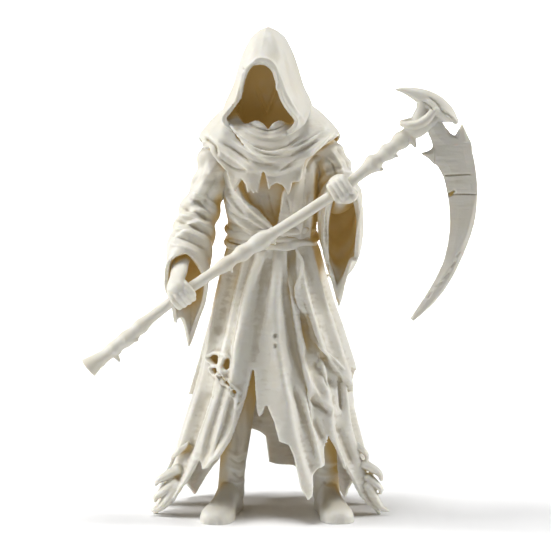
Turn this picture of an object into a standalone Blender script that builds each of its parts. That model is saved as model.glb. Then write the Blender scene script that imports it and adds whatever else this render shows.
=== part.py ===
"""Grim reaper figurine: a hooded figure in a torn robe, holding a scythe across the body, cast in one piece.

Metres, +Z up, the front faces -Y, and the figure's own right hand is at -X.
The free form is drawn in shares, 150 of them to the figure's height. Walls, rods and blades have sizes of their own.
"""

import math

import bmesh
import bpy
import numpy as np

# Driving sizes, in metres
FIGURE_HEIGHT = 0.150
SKIRT_WALL = 0.0013
COAT_OVERLAP = 0.0004
BODICE_WALL = 0.0018
MANTLE_WALL = 0.0012
HOOD_WALL = 0.0015
SLEEVE_WALL = 0.0013
SHAFT_RADIUS = 0.00165
BLADE_THICKNESS = 0.0020
BLADE_EDGE = 0.0008
FINGER_RADIUS = 0.00095
BELT_ROLL_RADIUS = 0.00145
CASTING_GRAIN = 0.00050
GROUND_CUT_DEPTH = 0.004
CASTING_TRIANGLES = 9200

# The free form's own unit
SHARES = 150
SHARE = FIGURE_HEIGHT / SHARES

RESIN_COLOUR = (0.86, 0.84, 0.76, 1.0)
RESIN_ROUGHNESS = 0.45


def in_shares(size):
    """A driving size in metres, as shares of the figure."""
    return size / SHARE


# Curves and lofts


def spline(knots, count, closed=False):
    """Points on a smooth curve through the knots, whatever numbers each knot holds."""
    knots = np.asarray(knots, float)
    spans = len(knots) if closed else len(knots) - 1
    along = np.linspace(0, spans, count, endpoint=not closed)
    index = np.minimum(along.astype(int), spans - 1)
    part = (along - index)[:, None]
    if closed:
        before, start, end, after = (knots[(index + k) % spans] for k in (-1, 0, 1, 2))
    else:
        padded = np.vstack([2 * knots[0] - knots[1], knots, 2 * knots[-1] - knots[-2]])
        before, start, end, after = (padded[index + k] for k in (0, 1, 2, 3))
    return 0.5 * (
        2 * start
        + (end - before) * part
        + (2 * before - 5 * start + 4 * end - after) * part**2
        + (3 * start - before - 3 * end + after) * part**3
    )


def profile(table, at):
    """Each column of a table after its first, read at these values of the first column, smoothly."""
    table = np.asarray(table, float)
    order = np.argsort(table[:, 0])
    table = table[order]
    fine = spline(table, 40 * len(table))
    return [np.interp(at, fine[:, 0], fine[:, k]) for k in range(1, table.shape[1])]


def ragged(edge, angle):
    """An edge's height at these angles, in degrees, straight between its points all the way round."""
    angles, heights = zip(*edge)
    return np.interp(angle, angles, heights, period=360)


def outward(grid, around=True):
    """Unit normals of a grid of points, rows by columns, that point away from the rows' middles."""
    if around:
        across = np.roll(grid, -1, 1) - np.roll(grid, 1, 1)
    else:
        across = np.gradient(grid, axis=1)
    normal = np.cross(across, np.gradient(grid, axis=0))
    normal /= np.maximum(np.linalg.norm(normal, axis=2, keepdims=True), 1e-9)
    middle = grid.mean(1, keepdims=True)
    facing = np.sign((normal * (grid - middle)).sum())
    return normal * facing


def skin(rings, closed=False):
    """A closed mesh through rings of points. Its ends are capped, unless the last ring joins the first."""
    rings = np.asarray(rings, float)
    rows, columns = rings.shape[:2]
    points = rings.reshape(-1, 3)
    faces = []
    for row in range(rows if closed else rows - 1):
        here, there = row * columns, (row + 1) % rows * columns
        for column in range(columns):
            beside = (column + 1) % columns
            faces.append((here + column, here + beside, there + beside, there + column))
    if not closed:
        last = (rows - 1) * columns
        points = np.vstack([points, rings[0].mean(0), rings[-1].mean(0)])
        for column in range(columns):
            beside = (column + 1) % columns
            faces.append((len(points) - 2, beside, column))
            faces.append((len(points) - 1, last + column, last + beside))
    return points, faces


def bag(outer, wall, deep_rows):
    """A lofted form that is open at its last ring: it turns in there by the wall and runs back some rows."""
    inner = outer - outward(outer) * wall
    return skin(np.concatenate([outer, inner[::-1][:deep_rows]]))


def sheet(outer, inner):
    """A shell that is open at both ends, such as a cape round the shoulders, between its two surfaces."""
    return skin(np.concatenate([outer, inner[::-1]]), closed=True)


def frames(path, side=(0.0, 0.0, 1.0)):
    """Two unit vectors across a path at each of its points, without twist. The second starts near the side given."""
    tangent = np.gradient(path, axis=0)
    tangent /= np.linalg.norm(tangent, axis=1, keepdims=True)
    across = np.cross(tangent[0], side)
    if np.linalg.norm(across) < 0.1:
        across = np.cross(tangent[0], (0.0, 1.0, 0.0))
    first, second = [], []
    for step in tangent:
        across = across - step * across.dot(step)
        across /= np.linalg.norm(across)
        first.append(across)
        second.append(np.cross(across, step))
    return np.array(first), np.array(second)


def limb(knots, steps=24, sides=14, flat=1.0, side=(0.0, 0.0, 1.0), cut_start=False):
    """A tube through knots of x, y, z and radius, with round ends, or its start cut square.

    Flat is its depth towards the side direction as a share of its width.
    """
    line = spline(knots, steps)
    path, radius = line[:, :3], np.maximum(line[:, 3], 0.05)
    first, second = frames(path, side)
    turn = np.linspace(0, 2 * math.pi, sides, endpoint=False)[:, None]
    start_way = (path[0] - path[1]) / np.linalg.norm(path[1] - path[0])
    end_way = (path[-1] - path[-2]) / np.linalg.norm(path[-1] - path[-2])
    caps = (0.35, 0.75, 0.95)
    stops = []
    if not cut_start:
        stops += [(path[0] + start_way * radius[0] * flat * (1 - c * c) ** 0.5, radius[0] * c, 0) for c in caps]
    stops += [(path[k], radius[k], k) for k in range(steps)]
    stops += [(path[-1] + end_way * radius[-1] * flat * (1 - c * c) ** 0.5, radius[-1] * c, -1) for c in caps[::-1]]
    return skin([spot + r * (np.cos(turn) * first[k] + flat * np.sin(turn) * second[k]) for spot, r, k in stops])


def ring_at(angles, width, depth, middle_x, middle_y, height):
    """Points round an upright axis: angle 0 is the front, 90 degrees the figure's left side."""
    turn = np.radians(angles)
    return np.stack(
        [middle_x + width * np.sin(turn), middle_y - depth * np.cos(turn), height], axis=-1
    )


# The robe: a skirt, the coat's tails over it and the bodice above the belt

# Height, middle x, middle y, half width, half depth
ROBE_PROFILE = [
    (0, -2.9, 0.5, 35.6, 26.5),
    (4, -2.9, 0.5, 34.2, 25.6),
    (16, -2.2, 0.5, 29.2, 23.2),
    (28, -2.0, 0.5, 25.6, 21.0),
    (44, -0.9, 0.5, 22.0, 17.8),
    (66, -1.8, 0.3, 16.9, 13.2),
    (80, -1.5, 0.0, 13.9, 10.6),
    (87, -1.7, 0.0, 12.6, 9.4),
    (98, -1.8, 0.0, 13.6, 10.4),
    (108, -1.8, 0.2, 14.6, 10.6),
    (116, -2.0, 0.4, 13.5, 9.4),
]

# Where each fold lies at heights 80, 48 and 8, its width in degrees and how far it stands out
ROBE_FOLDS = [
    (-17, -32, -39, 6.0, 2.5),
    (-38, -48, -56, 6.0, 1.7),
    (1, 4, 16, 9.5, 2.3),
    (19, 25, 34, 5.0, 1.9),
    (33, 43, 51, 5.5, 1.8),
    (60, 66, 72, 6.5, 1.7),
    (88, 92, 94, 7.5, 1.8),
    (112, 116, 120, 6.5, 1.9),
    (136, 140, 142, 6.5, 1.7),
    (160, 162, 166, 7.5, 2.0),
    (186, 188, 190, 6.5, 1.8),
    (210, 212, 212, 7.5, 1.9),
    (236, 236, 236, 6.5, 1.8),
    (262, 262, 264, 7.5, 1.8),
    (286, 284, 284, 6.0, 1.5),
]

SKIRT_HEM = [
    (-172, 20.5), (-166, 21.5), (-160, 19), (-153, 15), (-147, 9), (-138, 1), (-130, 5), (-122, 12), (-116, 4),
    (-108, 0), (-102, 4), (-98, 7), (-94, 17), (-91, 20), (-89, 8), (-86, 13), (-83, 4), (-80, 8), (-76, 0),
    (-68, 3), (-60, 6), (-54, 12), (-50, 19.5), (-46, 16), (-41, 17), (-34, 21), (-29, 25), (-26, 31), (-23, 38),
    (-19.5, 47), (-17.5, 47), (-15, 41), (-12, 35), (-9.5, 33), (-7, 34), (-5, 37), (-2, 35), (2, 32), (6, 26),
    (12, 25), (15, 21.5), (18, 12), (21.5, 8), (24, 9), (26, 15), (30, 17.5), (36, 18), (40, 24), (43.5, 27),
    (48, 21.5), (51, 16), (55, 17.5), (60, 12.5), (63, 7), (68, 3), (74, 0), (80, 2), (84, 8), (87, 5), (90, 14),
    (93, 17), (96, 6), (100, 8), (106, 0), (113, 3), (120, 10), (128, 5), (136, 0), (143, 4), (150, 11),
    (158, 6), (166, 9), (174, 9.5), (180, 10.5), (183, 19), (186, 20),
]

COAT_HEM = [
    (-97, 80), (-97.5, 60), (-98.5, 42), (-100, 35), (-106, 37), (-114, 30), (-124, 36), (-140, 26), (-152, 33),
    (-166, 25), (-180, 31), (170, 24), (156, 33), (142, 27), (130, 36), (118, 30), (106, 37), (96, 43),
    (84, 45), (79, 37.5), (66, 41), (56, 46), (48, 49.5), (38, 53.5), (34, 59), (31, 66), (29, 80),
]

BODICE_TOP = [
    (-60, 112), (-45, 105), (-40, 101), (-31, 97.5), (-18, 95.5), (3, 89.5), (8, 90.5), (12.5, 95), (14, 100),
    (21, 104), (32, 112), (180, 112),
]


# Curled rags on the hem's two sides: x, y, height and radius along each
HEM_CURLS = [
    [(-30.5, -7.5, 13.5, 1.2), (-34.0, -8.2, 12.2, 1.1), (-36.6, -8.6, 10.6, 0.9), (-37.2, -8.8, 8.9, 0.6)],
    [(-32.0, -8.6, 8.0, 1.3), (-35.2, -9.0, 6.8, 1.1), (-37.4, -9.3, 5.4, 0.9), (-37.0, -9.4, 4.0, 0.6)],
    [(-31.0, -9.2, 8.2, 1.5), (-33.4, -9.6, 4.4, 1.4), (-35.6, -9.5, 2.2, 1.1), (-38.2, -9.2, 1.8, 0.5)],
    [(-27.0, -8.0, 22.0, 1.3), (-29.4, -7.6, 20.0, 1.1), (-31.2, -7.0, 18.4, 0.8), (-32.2, -6.6, 17.0, 0.5)],
    [(24.0, -6.5, 21.5, 1.1), (26.6, -6.8, 19.6, 1.0), (27.8, -7.2, 17.8, 0.8), (26.8, -7.6, 16.6, 0.55)],
    [(28.0, -7.0, 14.6, 1.2), (30.4, -7.4, 13.6, 1.1), (31.8, -7.8, 12.2, 0.9), (31.0, -8.2, 11.0, 0.6)],
    [(28.6, -7.6, 10.4, 1.2), (30.6, -8.0, 9.6, 1.0), (31.6, -8.3, 8.2, 0.7)],
    [(28.0, -8.2, 8.4, 1.4), (30.0, -8.8, 4.4, 1.3), (31.8, -9.1, 2.2, 1.0), (33.8, -9.2, 2.6, 0.45)],
]


def fold_swell(angle, height):
    """How far the robe's folds stand out at an angle and a height: nothing at the belt, most at the hem."""
    swell = np.zeros(np.broadcast(angle, height).shape)
    for high, mid, low, width, stand in ROBE_FOLDS:
        place = np.interp(height, (8, 48, 80), (low, mid, high))
        away = (angle - place + 180) % 360 - 180
        swell += stand * np.exp(-((away / width) ** 2))
    return (swell - 0.9) * np.interp(height, (0, 30, 62, 76, 82), (1.15, 1.0, 0.75, 0.45, 0.0))


def robe_surface(angle, height, offset=0.0):
    """Points of the robe's outer surface, pushed out by an offset."""
    middle_x, middle_y, width, depth = profile(ROBE_PROFILE, height)
    swell = fold_swell(angle, height) + offset
    return ring_at(angle, width + swell, depth + swell, middle_x, middle_y, height)


# Worn holes in the skirt's front: x and height of the middle, half width, half height, lean in degrees
SKIRT_HOLES = [
    (-19.3, 48.6, 1.3, 1.5, 10), (-19.3, 45.2, 0.8, 1.1, 0), (-15.8, 47.8, 0.95, 2.0, -12), (-15.6, 42.6, 0.5, 2.4, 50),
    (-13.4, 39.6, 0.5, 1.7, 25), (-12.2, 37.6, 0.6, 0.7, 0),
]
HOLE_DEPTHS = (-30.0, -6.5)


def hole_cutters():
    """Prisms that cut the holes, from in front of the skirt to the space inside it."""
    sides = np.linspace(0, 2 * math.pi, 8, endpoint=False)
    prisms = []
    for x, height, half_width, half_height, lean in SKIRT_HOLES:
        turn = math.radians(lean)
        across, along = np.cos(sides) * half_width, np.sin(sides) * half_height
        rings = []
        for depth in HOLE_DEPTHS:
            ring_x = x + across * math.cos(turn) - along * math.sin(turn)
            ring_z = height + across * math.sin(turn) + along * math.cos(turn)
            rings.append(np.stack([ring_x, np.full(8, depth), ring_z], axis=1))
        prisms.append(skin(rings))
    return prisms


def skirt():
    columns, rows = 260, 44
    top = 87.0
    angle = np.linspace(-180, 180, columns, endpoint=False)[None, :]
    share = np.linspace(0, 1, rows)[:, None]
    height = top + (ragged(SKIRT_HEM, angle) - 0.3 - top) * share
    inner = robe_surface(angle, height, -in_shares(SKIRT_WALL))
    return skin(np.concatenate([robe_surface(angle, height), inner[::-1][:30]]))


def coat_tails():
    """The outer layer, open at the front. It lies on the skirt and is cast on to it, so it stands out as a step."""
    columns, rows = 260, 30
    top = 85.5
    angle = np.linspace(-180, 180, columns, endpoint=False)[None, :]
    share = np.linspace(0, 1, rows)[:, None]
    height = top + (ragged(COAT_HEM, angle) - top) * share
    front_edge = 1.2 * np.exp(-(((angle - 36) / 7) ** 2)) * np.interp(height, (50, 78), (1.0, 0.3))
    back_edge = np.exp(-(((angle + 98) / 20) ** 2)) * np.interp(height, (34, 48, 62), (0.9, 1.3, 2.0))
    stand_off = np.interp(height, (30, 60, 80), (2.9, 2.0, 0.6)) + front_edge - back_edge
    return sheet(robe_surface(angle, height, stand_off), robe_surface(angle, height, -in_shares(COAT_OVERLAP)))


# Creases in the bodice: the angle and height where each starts and ends, and how far it stands out
BODICE_CREASES = [
    (-80, 101, -8, 88.5, 0.9), (-84, 96, -14, 86.5, 0.8), (-78, 106, -22, 96, 0.7), (-50, 92, -20, 87, 0.6),
    (30, 108, 24, 90, 0.9), (46, 109, 40, 86, 1.0), (66, 108, 60, 86, 0.8), (90, 104, 84, 87, 0.8),
    (124, 107, 150, 88, 0.8), (150, 107, 178, 90, 0.9), (208, 107, 184, 90, 0.8), (236, 106, 214, 88, 0.9),
    (262, 106, 250, 88, 0.8),
]


def bodice():
    columns, rows = 200, 30
    bottom, wall = 82.6, in_shares(BODICE_WALL)
    angle = np.linspace(-180, 180, columns, endpoint=False)[None, :]
    share = np.linspace(0, 1, rows)[:, None]
    height = bottom + (ragged(BODICE_TOP, angle) - bottom) * share
    swell = np.zeros(height.shape)
    for from_angle, from_height, to_angle, to_height, stand in BODICE_CREASES:
        drop = (to_height - from_height) / math.radians(to_angle - from_angle) / 13
        lean = math.hypot(1, drop)
        off = np.radians((angle - from_angle + 180) % 360 - 180) * 13
        away = (height - from_height - drop * off) / lean
        along = (off + drop * (height - from_height)) / lean / math.hypot(1, drop)
        span = math.radians(to_angle - from_angle) * 13
        within = np.clip(4 * (along / span) * (1 - along / span) + 0.35, 0, 1)
        swell += stand * np.exp(-((away / 1.3) ** 2)) * within * np.interp(height, (98, 103), (1.0, 0.2))
    return sheet(robe_surface(angle, height, 0.7 + swell), robe_surface(angle, height, 0.7 - wall))


def body():
    """The solid trunk inside the robe, from the hips to the shoulders, sunk at the front where the wraps part."""
    columns = 40
    angle = np.linspace(-180, 180, columns, endpoint=False)[None, :]
    front = np.exp(-((angle / 42) ** 2))
    rings = []
    for height in np.linspace(74, 113, 16):
        inset = -0.5 - front * np.interp(height, (86, 92), (0.0, 2.0))
        rings.append(robe_surface(angle, np.full((1, columns), height), inset)[0])
    return skin(rings)


def belt():
    """Three rolls of a sash wound round the waist, crossing each other a little."""
    radius = in_shares(BELT_ROLL_RADIUS)
    turns = []
    for height, lean, phase, roll in ((87.8, 0.6, 40, 1.0), (85.7, 1.0, 150, 1.1), (83.5, 0.8, 10, 1.0)):
        angle = np.linspace(-180, 180, 44, endpoint=False)
        level = height + lean * np.sin(np.radians(angle * 2 + phase))
        middle = robe_surface(angle, level, 0.2 + 0.4 * np.sin(np.radians(angle * 3 + phase)))
        across = np.linspace(0, 2 * math.pi, 12, endpoint=False)
        rings = []
        for spot, turn in zip(middle, np.radians(angle)):
            out = np.array((math.sin(turn), -math.cos(turn), 0.0))
            up = np.array((0.0, 0.0, 1.0))
            rings.append([spot + radius * roll * (math.cos(a) * out + math.sin(a) * up) for a in across])
        turns.append(skin(rings, closed=True))
    return turns


# The mantle over the shoulders, and the scarf rolls at the neck

MANTLE_HEM = [
    (-90, 117.2), (-77, 115.6), (-71, 113.4), (-67.5, 114.2), (-55, 109.4), (-49, 107.2), (-45.5, 103.6), (-41, 101.0),
    (-38, 103.4), (-34.5, 105.2), (-28.5, 103.6), (-25, 101.0), (-22, 102.4), (-19, 100.8), (-17, 102.0),
    (-14, 100.9), (-12, 104), (-9, 107.8), (-6.5, 107.8), (-4, 105.5), (-1, 102.2), (1.5, 103.6), (8, 104.4),
    (15, 103.6), (19, 102.0), (21.5, 100.4), (24, 102.0), (27, 104.2), (34, 104.4), (38, 105.6), (41, 108.2),
    (44, 110.0), (55, 113.2), (63, 114.8), (79, 116.8), (90, 117.2), (100, 114.6), (112, 111.0), (122, 105.4),
    (130, 102.6), (136, 104.8), (142, 98.4), (149, 96.6), (155, 101.0), (163, 95.6), (169, 98.8), (174, 97.2),
    (180, 92.6), (187, 97.6), (196, 95.6), (203, 101.0), (211, 97.4), (218, 99.6), (224, 104.0), (232, 102.4),
    (242, 108.5), (255, 113.0), (264, 115.0),
]

# Angle from the front and the mantle's reach there at its hem
MANTLE_REACH = [(0, 15.6), (30, 16.0), (45, 17.2), (60, 19.6), (75, 21.3), (90, 21.6), (110, 20.8), (135, 18.6), (180, 14.8)]

# Each crease below a swag: its middle x, its lowest height, how it curves up to either side, and its stand-out
SWAGS = [(-0.6, 113.6, 0.048, 0.028, 1.5), (1.4, 110.4, 0.046, 0.030, 1.4), (-2.0, 107.4, 0.030, 0.034, 0.9)]


def swag_swell(x, height):
    """How far the hanging folds below the neck stand out: each is full at its crease and dies away above it."""
    swell = np.zeros(np.broadcast(x, height).shape)
    for middle, low, curve_left, curve_right, stand in SWAGS:
        aside = x - middle
        crease = low + np.where(aside < 0, curve_left, curve_right) * aside**2
        above = height - crease
        swell += stand * np.where(above > 0, np.exp(-((above / 1.9) ** 2)), np.exp(-((above / 0.85) ** 2)))
    return swell


# Angle from the front and the height of the cowl's top edge, inside the hood
COWL_TOP = [
    (-180, 124.0), (-130, 125.0), (-90, 126.0), (-66, 124.4), (-45, 121.6), (-32, 122.2), (-20, 122.7), (-9, 121.7),
    (-2.5, 120.3), (4, 121.7), (15, 122.7), (26, 122.3), (34, 121.6), (46, 122.4), (66, 124.4), (90, 126.0),
    (130, 125.0), (180, 124.0),
]

# Angle from the front and the height where the mantle starts to widen
MANTLE_START = [(0, 122.0), (42, 122.0), (66, 124.6), (90, 126.6), (130, 125.0), (180, 123.5)]

# Angle from the front and the height where the mantle reaches its full width
MANTLE_EDGE = [(0, 101.5), (38, 102.5), (52, 108.0), (66, 113.2), (90, 117.0), (112, 110.5), (136, 101.5), (180, 95.0)]


def mantle_surface(angle, height, inset=0.0):
    """Points of the mantle and of the cowl above it, one sheet, at an angle and a height."""
    front = np.cos(np.radians(angle))
    reach = profile(MANTLE_REACH, np.abs(angle))[0]
    edge = profile(MANTLE_EDGE, np.abs(angle))[0]
    start = profile(MANTLE_START, np.abs(angle))[0]
    down = np.clip((start - height) / (start - edge), 0, 1.06)
    width = 10.6 + (reach - 10.6) * down**0.65 - inset * 0.8
    depth = 10.9 + (reach * 0.9 - 10.9) * down**0.5 - inset * 0.8
    ripples = 0.45 * np.sin(np.radians(angle * 9)) * (front < 0.3) + 0.25 * np.sin(np.radians(angle * 11 + 30))
    notch = 0.8 * np.exp(-(((angle + 2.5) / 6) ** 2)) * np.interp(height, (116, 121), (0.0, 1.0))
    x = -2.2 + width * np.sin(np.radians(angle))
    swell = ripples * down + swag_swell(x, height) * np.clip(front * 1.6, 0, 1) - notch
    return ring_at(angle, width + swell * 0.5, depth + swell, -2.2, 0.4, height - inset * 0.5)


def mantle():
    columns, rows = 300, 60
    angle = np.linspace(-180, 180, columns, endpoint=False)[None, :]
    share = np.linspace(0, 1, rows)[:, None]
    top = profile(COWL_TOP, angle)[0]
    height = np.maximum(top + (min(MANTLE_HEM, key=lambda point: point[1])[1] - top) * share, ragged(MANTLE_HEM, angle))
    return sheet(mantle_surface(angle, height), mantle_surface(angle, height, in_shares(MANTLE_WALL)))


def shoulders():
    """The solid under the mantle, from one shoulder to the other."""
    return limb([(-17.0, 1.2, 111.6, 5.4), (-9.0, 0.8, 111.6, 6.6), (-2.0, 0.6, 111.0, 7.4), (6.0, 0.8, 111.6, 6.6),
                 (13.4, 1.2, 111.6, 5.4)], 16)


# The hood, turned a little to the figure's right

HOOD_TURN = -12
HOOD_MIDDLE = (-2.6, 0.8)

# Half of an upright outline through the hood: how far from its middle, and its height
HOOD_OUTLINE = [
    (0.0, 149.6), (2.6, 148.4), (5.0, 146.2), (7.3, 141.6), (8.9, 136.6), (10.3, 132.0), (12.1, 128.2),
    (13.2, 124.6), (12.4, 121.0), (9.0, 118.4), (0.0, 117.4),
]
HOOD_MOUTH = [
    (0.0, 140.8), (2.6, 140.3), (4.9, 138.2), (5.9, 135.6), (6.7, 132.4), (7.6, 129.2), (9.4, 126.4), (11.8, 123.4),
    (11.2, 121.0), (8.6, 118.6), (5.0, 117.2), (0.0, 116.8),
]


def upright_ring(outline, depth, columns):
    """A closed ring through an outline and its mirror image, its points evenly spaced, at a depth."""
    outline = spline(outline, 60)
    whole = np.vstack([outline, outline[-2:0:-1] * (-1, 1)])
    walked = np.concatenate([[0], np.cumsum(np.linalg.norm(np.diff(np.vstack([whole, whole[:1]]), axis=0), axis=1))])
    even = np.linspace(0, walked[-1], columns, endpoint=False)
    ring = np.stack([np.interp(even, walked, np.append(whole[:, k], whole[0, k])) for k in (0, 1)], axis=1)
    return np.stack([ring[:, 0], np.full(columns, float(depth)), ring[:, 1]], axis=1)


# The hood from its nape to its brow: depth, and its width and its height above the nape as shares of the outline
HOOD_DEPTHS = [
    (13.6, 0.16, 0.30), (13.2, 0.44, 0.44), (12.0, 0.66, 0.60), (9.6, 0.84, 0.78), (6.0, 0.96, 0.92), (1.4, 1.0, 1.0),
    (-4.6, 0.99, 1.0),
]
HOOD_BASE = 117.4


def hood():
    columns = 84
    keys = []
    for depth, wide, tall in HOOD_DEPTHS:
        ring = upright_ring(HOOD_OUTLINE, depth, columns)
        ring[:, 0] *= wide
        ring[:, 2] = HOOD_BASE + (ring[:, 2] - HOOD_BASE) * tall
        keys.append(ring)
    brow = 0.5 * upright_ring(HOOD_OUTLINE, -9.6, columns) + 0.5 * upright_ring(HOOD_MOUTH, -9.6, columns)
    rim = upright_ring(HOOD_MOUTH, -13.6, columns)
    rim[:, 1] += np.interp(rim[:, 2], (117, 124, 142), (3.4, 1.0, 0.0))
    rings = spline(np.array(keys + [brow, rim]).reshape(len(keys) + 2, -1), 36).reshape(36, columns, 3)
    turn = math.radians(HOOD_TURN)
    turned = rings.copy()
    turned[..., 0] = rings[..., 0] * math.cos(turn) - rings[..., 1] * math.sin(turn) + HOOD_MIDDLE[0]
    turned[..., 1] = rings[..., 0] * math.sin(turn) + rings[..., 1] * math.cos(turn) + HOOD_MIDDLE[1]
    return bag(turned, in_shares(HOOD_WALL), deep_rows=15)


# The sleeves, each a loft from the shoulder to a long torn mouth

def closed_ring(points, columns):
    return spline(points, columns, closed=True)


def round_ring(x, y, z, across, along, tilt, columns=12):
    """Points round an arm: the first is at its front, then its left side, back and right side."""
    turn = np.linspace(0, 2 * math.pi, columns, endpoint=False)
    lean = math.radians(tilt)
    front = -np.cos(turn) * along
    return np.stack([x + np.sin(turn) * across, y + front * math.cos(lean), z - front * math.sin(lean)], axis=1)


RIGHT_MOUTH = [
    (-28.0, -14.8, 82.6), (-24.4, -13.4, 80.0), (-21.2, -9.0, 73.0), (-21.6, -6.0, 66.6), (-23.8, -4.4, 60.0),
    (-26.9, -3.6, 51.6), (-28.6, -4.0, 57.8), (-29.8, -4.4, 60.6), (-31.4, -5.0, 59.4), (-32.4, -6.6, 65.0),
    (-34.4, -9.6, 71.6), (-33.4, -13.2, 79.4),
]
LEFT_MOUTH = [
    (20.6, -13.4, 103.0), (24.4, -12.6, 101.0), (25.9, -11.2, 95.4), (25.4, -10.2, 88.6), (24.8, -9.6, 82.0),
    (24.4, -9.4, 78.8), (22.9, -8.8, 79.4), (21.9, -8.4, 76.0), (20.9, -7.8, 71.4), (19.0, -7.0, 64.8),
    (17.4, -7.2, 69.2), (16.0, -7.4, 74.6), (15.2, -7.6, 73.6), (14.6, -8.0, 79.4), (14.0, -9.6, 88.0),
    (15.4, -12.4, 98.4),
]


def sleeve(rings, mouth, deep_rows):
    columns, rows = 60, 34
    keys = [closed_ring(ring, columns) for ring in rings + [mouth]]
    outer = spline(np.array(keys).reshape(len(keys), -1), rows).reshape(rows, columns, 3)
    share = np.linspace(0, 1, rows)[:, None]
    turn = np.linspace(0, 2 * math.pi, columns, endpoint=False)[None, :]
    creases = 0.45 * np.sin(share * 46 + 2.2 * np.sin(turn + 0.6)) * np.sin(math.pi * share) ** 0.5
    outer = outer + outward(outer) * creases[..., None]
    return bag(outer, in_shares(SLEEVE_WALL), deep_rows)


def right_sleeve():
    rings = [
        round_ring(-15.6, 1.0, 117.0, 3.6, 4.0, 0),
        round_ring(-17.8, 1.2, 111.8, 5.8, 6.2, 4),
        round_ring(-19.6, 1.6, 103.4, 5.9, 6.8, 6),
        round_ring(-23.4, 1.4, 94.0, 6.3, 7.6, 16),
        round_ring(-25.6, -1.4, 86.4, 6.6, 8.6, 34),
        round_ring(-27.0, -4.6, 79.6, 6.8, 11.4, 52),
    ]
    return sleeve(rings, RIGHT_MOUTH, 15)


def left_sleeve():
    rings = [
        round_ring(12.2, 1.0, 117.0, 3.6, 4.0, 0),
        round_ring(14.8, 1.2, 111.8, 5.8, 6.2, 8),
        round_ring(17.2, 1.6, 105.4, 6.0, 7.0, 20),
        round_ring(19.0, 0.4, 99.0, 6.4, 9.0, 42),
        round_ring(19.2, -3.4, 92.8, 6.8, 12.4, 64),
        round_ring(19.6, -7.2, 88.8, 6.4, 15.0, 78),
    ]
    return sleeve(rings, LEFT_MOUTH, 17)


# The hands, closed round the shaft from above: the back of each slopes down to its knuckles in front

SHAFT_SLOPE = np.array((0.84, 0.0, 0.55))
SHAFT_SLOPE /= np.linalg.norm(SHAFT_SLOPE)

# A finger's joints: turn round the shaft from straight up over the front, extra reach, and thickness
LOW_CURL = [(46, 0.7, 1.0), (86, 0.9, 1.15), (130, 0.4, 1.0), (176, 0.7, 1.05), (215, 0.3, 0.95), (250, 0.0, 0.8)]
HIGH_CURL = [(-10, 0.3, 1.0), (26, 0.7, 1.12), (74, 0.3, 1.0), (120, 0.8, 1.1), (178, 0.4, 1.0), (226, 0.1, 0.85)]


def fist(centre, curl, back, heel, finger_shares=(0.94, 1.04, 1.06, 1.0)):
    """Four fingers curled round the shaft at a centre, the back of the hand, and the heel or thumb."""
    front = np.array((0.0, -1.0, 0.0))
    up = np.cross(front, SHAFT_SLOPE)
    up *= np.sign(up[2])
    finger = in_shares(FINGER_RADIUS)
    hold = in_shares(SHAFT_RADIUS) + 0.75 * finger
    pieces = []

    def spot(angle, out, shift):
        turn = math.radians(angle)
        return np.array(centre) + SHAFT_SLOPE * shift + (math.cos(turn) * up + math.sin(turn) * front) * out

    for number, size in enumerate(finger_shares):
        shift = (number - 1.5) * 1.72 * finger
        pieces.append(limb([(*spot(turn, hold + out * size, shift), finger * size * thick) for turn, out, thick in curl], 18, 12))
    pieces.append(limb([(*spot(turn, hold + out, shift), size) for turn, out, shift, size in heel], 10, 12))
    root = [(*spot(turn, hold + out, 0.0), size) for turn, out, size in back[:2]]
    pieces.append(limb(root + back[2:], 16, 16, 0.55, side=np.cross(SHAFT_SLOPE, (0.0, -1.0, 0.4))))
    return pieces


def right_hand():
    back = [(74, 0.2, 2.8), (30, 1.2, 3.1), (-29.9, -14.8, 76.0, 3.2), (-29.2, -10.6, 79.0, 3.3), (-26.6, -3.0, 84.0, 4.0)]
    forefinger = [(4, 1.1, 2.6, 1.0), (60, 0.8, 3.3, 0.95), (112, 0.4, 3.6, 0.86), (150, 0.2, 3.4, 0.74)]
    return fist((-29.2, -18.4, 70.6), LOW_CURL, back, forefinger)


def left_hand():
    back = [(4, 0.5, 2.6), (-40, 1.1, 2.7), (20.2, -13.0, 101.4, 2.8), (20.0, -8.0, 98.6, 3.1), (19.6, -1.0, 95.0, 4.0)]
    heel = [(150, 0.8, -1.5, 1.1), (160, 1.2, 0.0, 1.6), (150, 1.4, 1.6, 1.7), (195, 1.4, 2.2, 1.4)]
    return fist((19.4, -19.4, 103.1), HIGH_CURL, back, heel)


# The legs and the shoes

LEGS = [
    [(-8.0, 1.0, 78.0, 6.0), (-10.0, -1.0, 50.0, 5.6), (-11.6, -1.6, 34.0, 5.0), (-13.0, 0.2, 20.0, 4.3),
     (-13.8, 0.4, 12.0, 3.9), (-14.2, 0.2, 5.0, 4.2)],
    [(5.0, 1.0, 78.0, 6.0), (9.0, -1.0, 50.0, 5.6), (12.0, -1.6, 34.0, 5.0), (14.0, 0.2, 20.0, 4.3),
     (14.8, 0.4, 12.0, 3.9), (15.2, 0.2, 5.0, 4.2)],
]

# Share of the foot's length from heel to toe, its half width and its height above the sole
SHOE_PROFILE = [
    (0.00, 1.6, 3.0), (0.05, 3.2, 5.4), (0.18, 3.9, 8.0), (0.34, 3.8, 8.6), (0.48, 3.9, 6.9), (0.62, 4.6, 5.2),
    (0.78, 5.1, 4.3), (0.90, 4.6, 3.6), (0.97, 3.2, 2.8), (1.00, 1.4, 1.6),
]
# Heel x and y, toe x and y, in shares
SHOE_PLACES = [(-13.2, 5.6, -19.6, -22.6), (14.4, 5.6, 19.4, -21.6)]
SOLE_BELOW = 0.6


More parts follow.
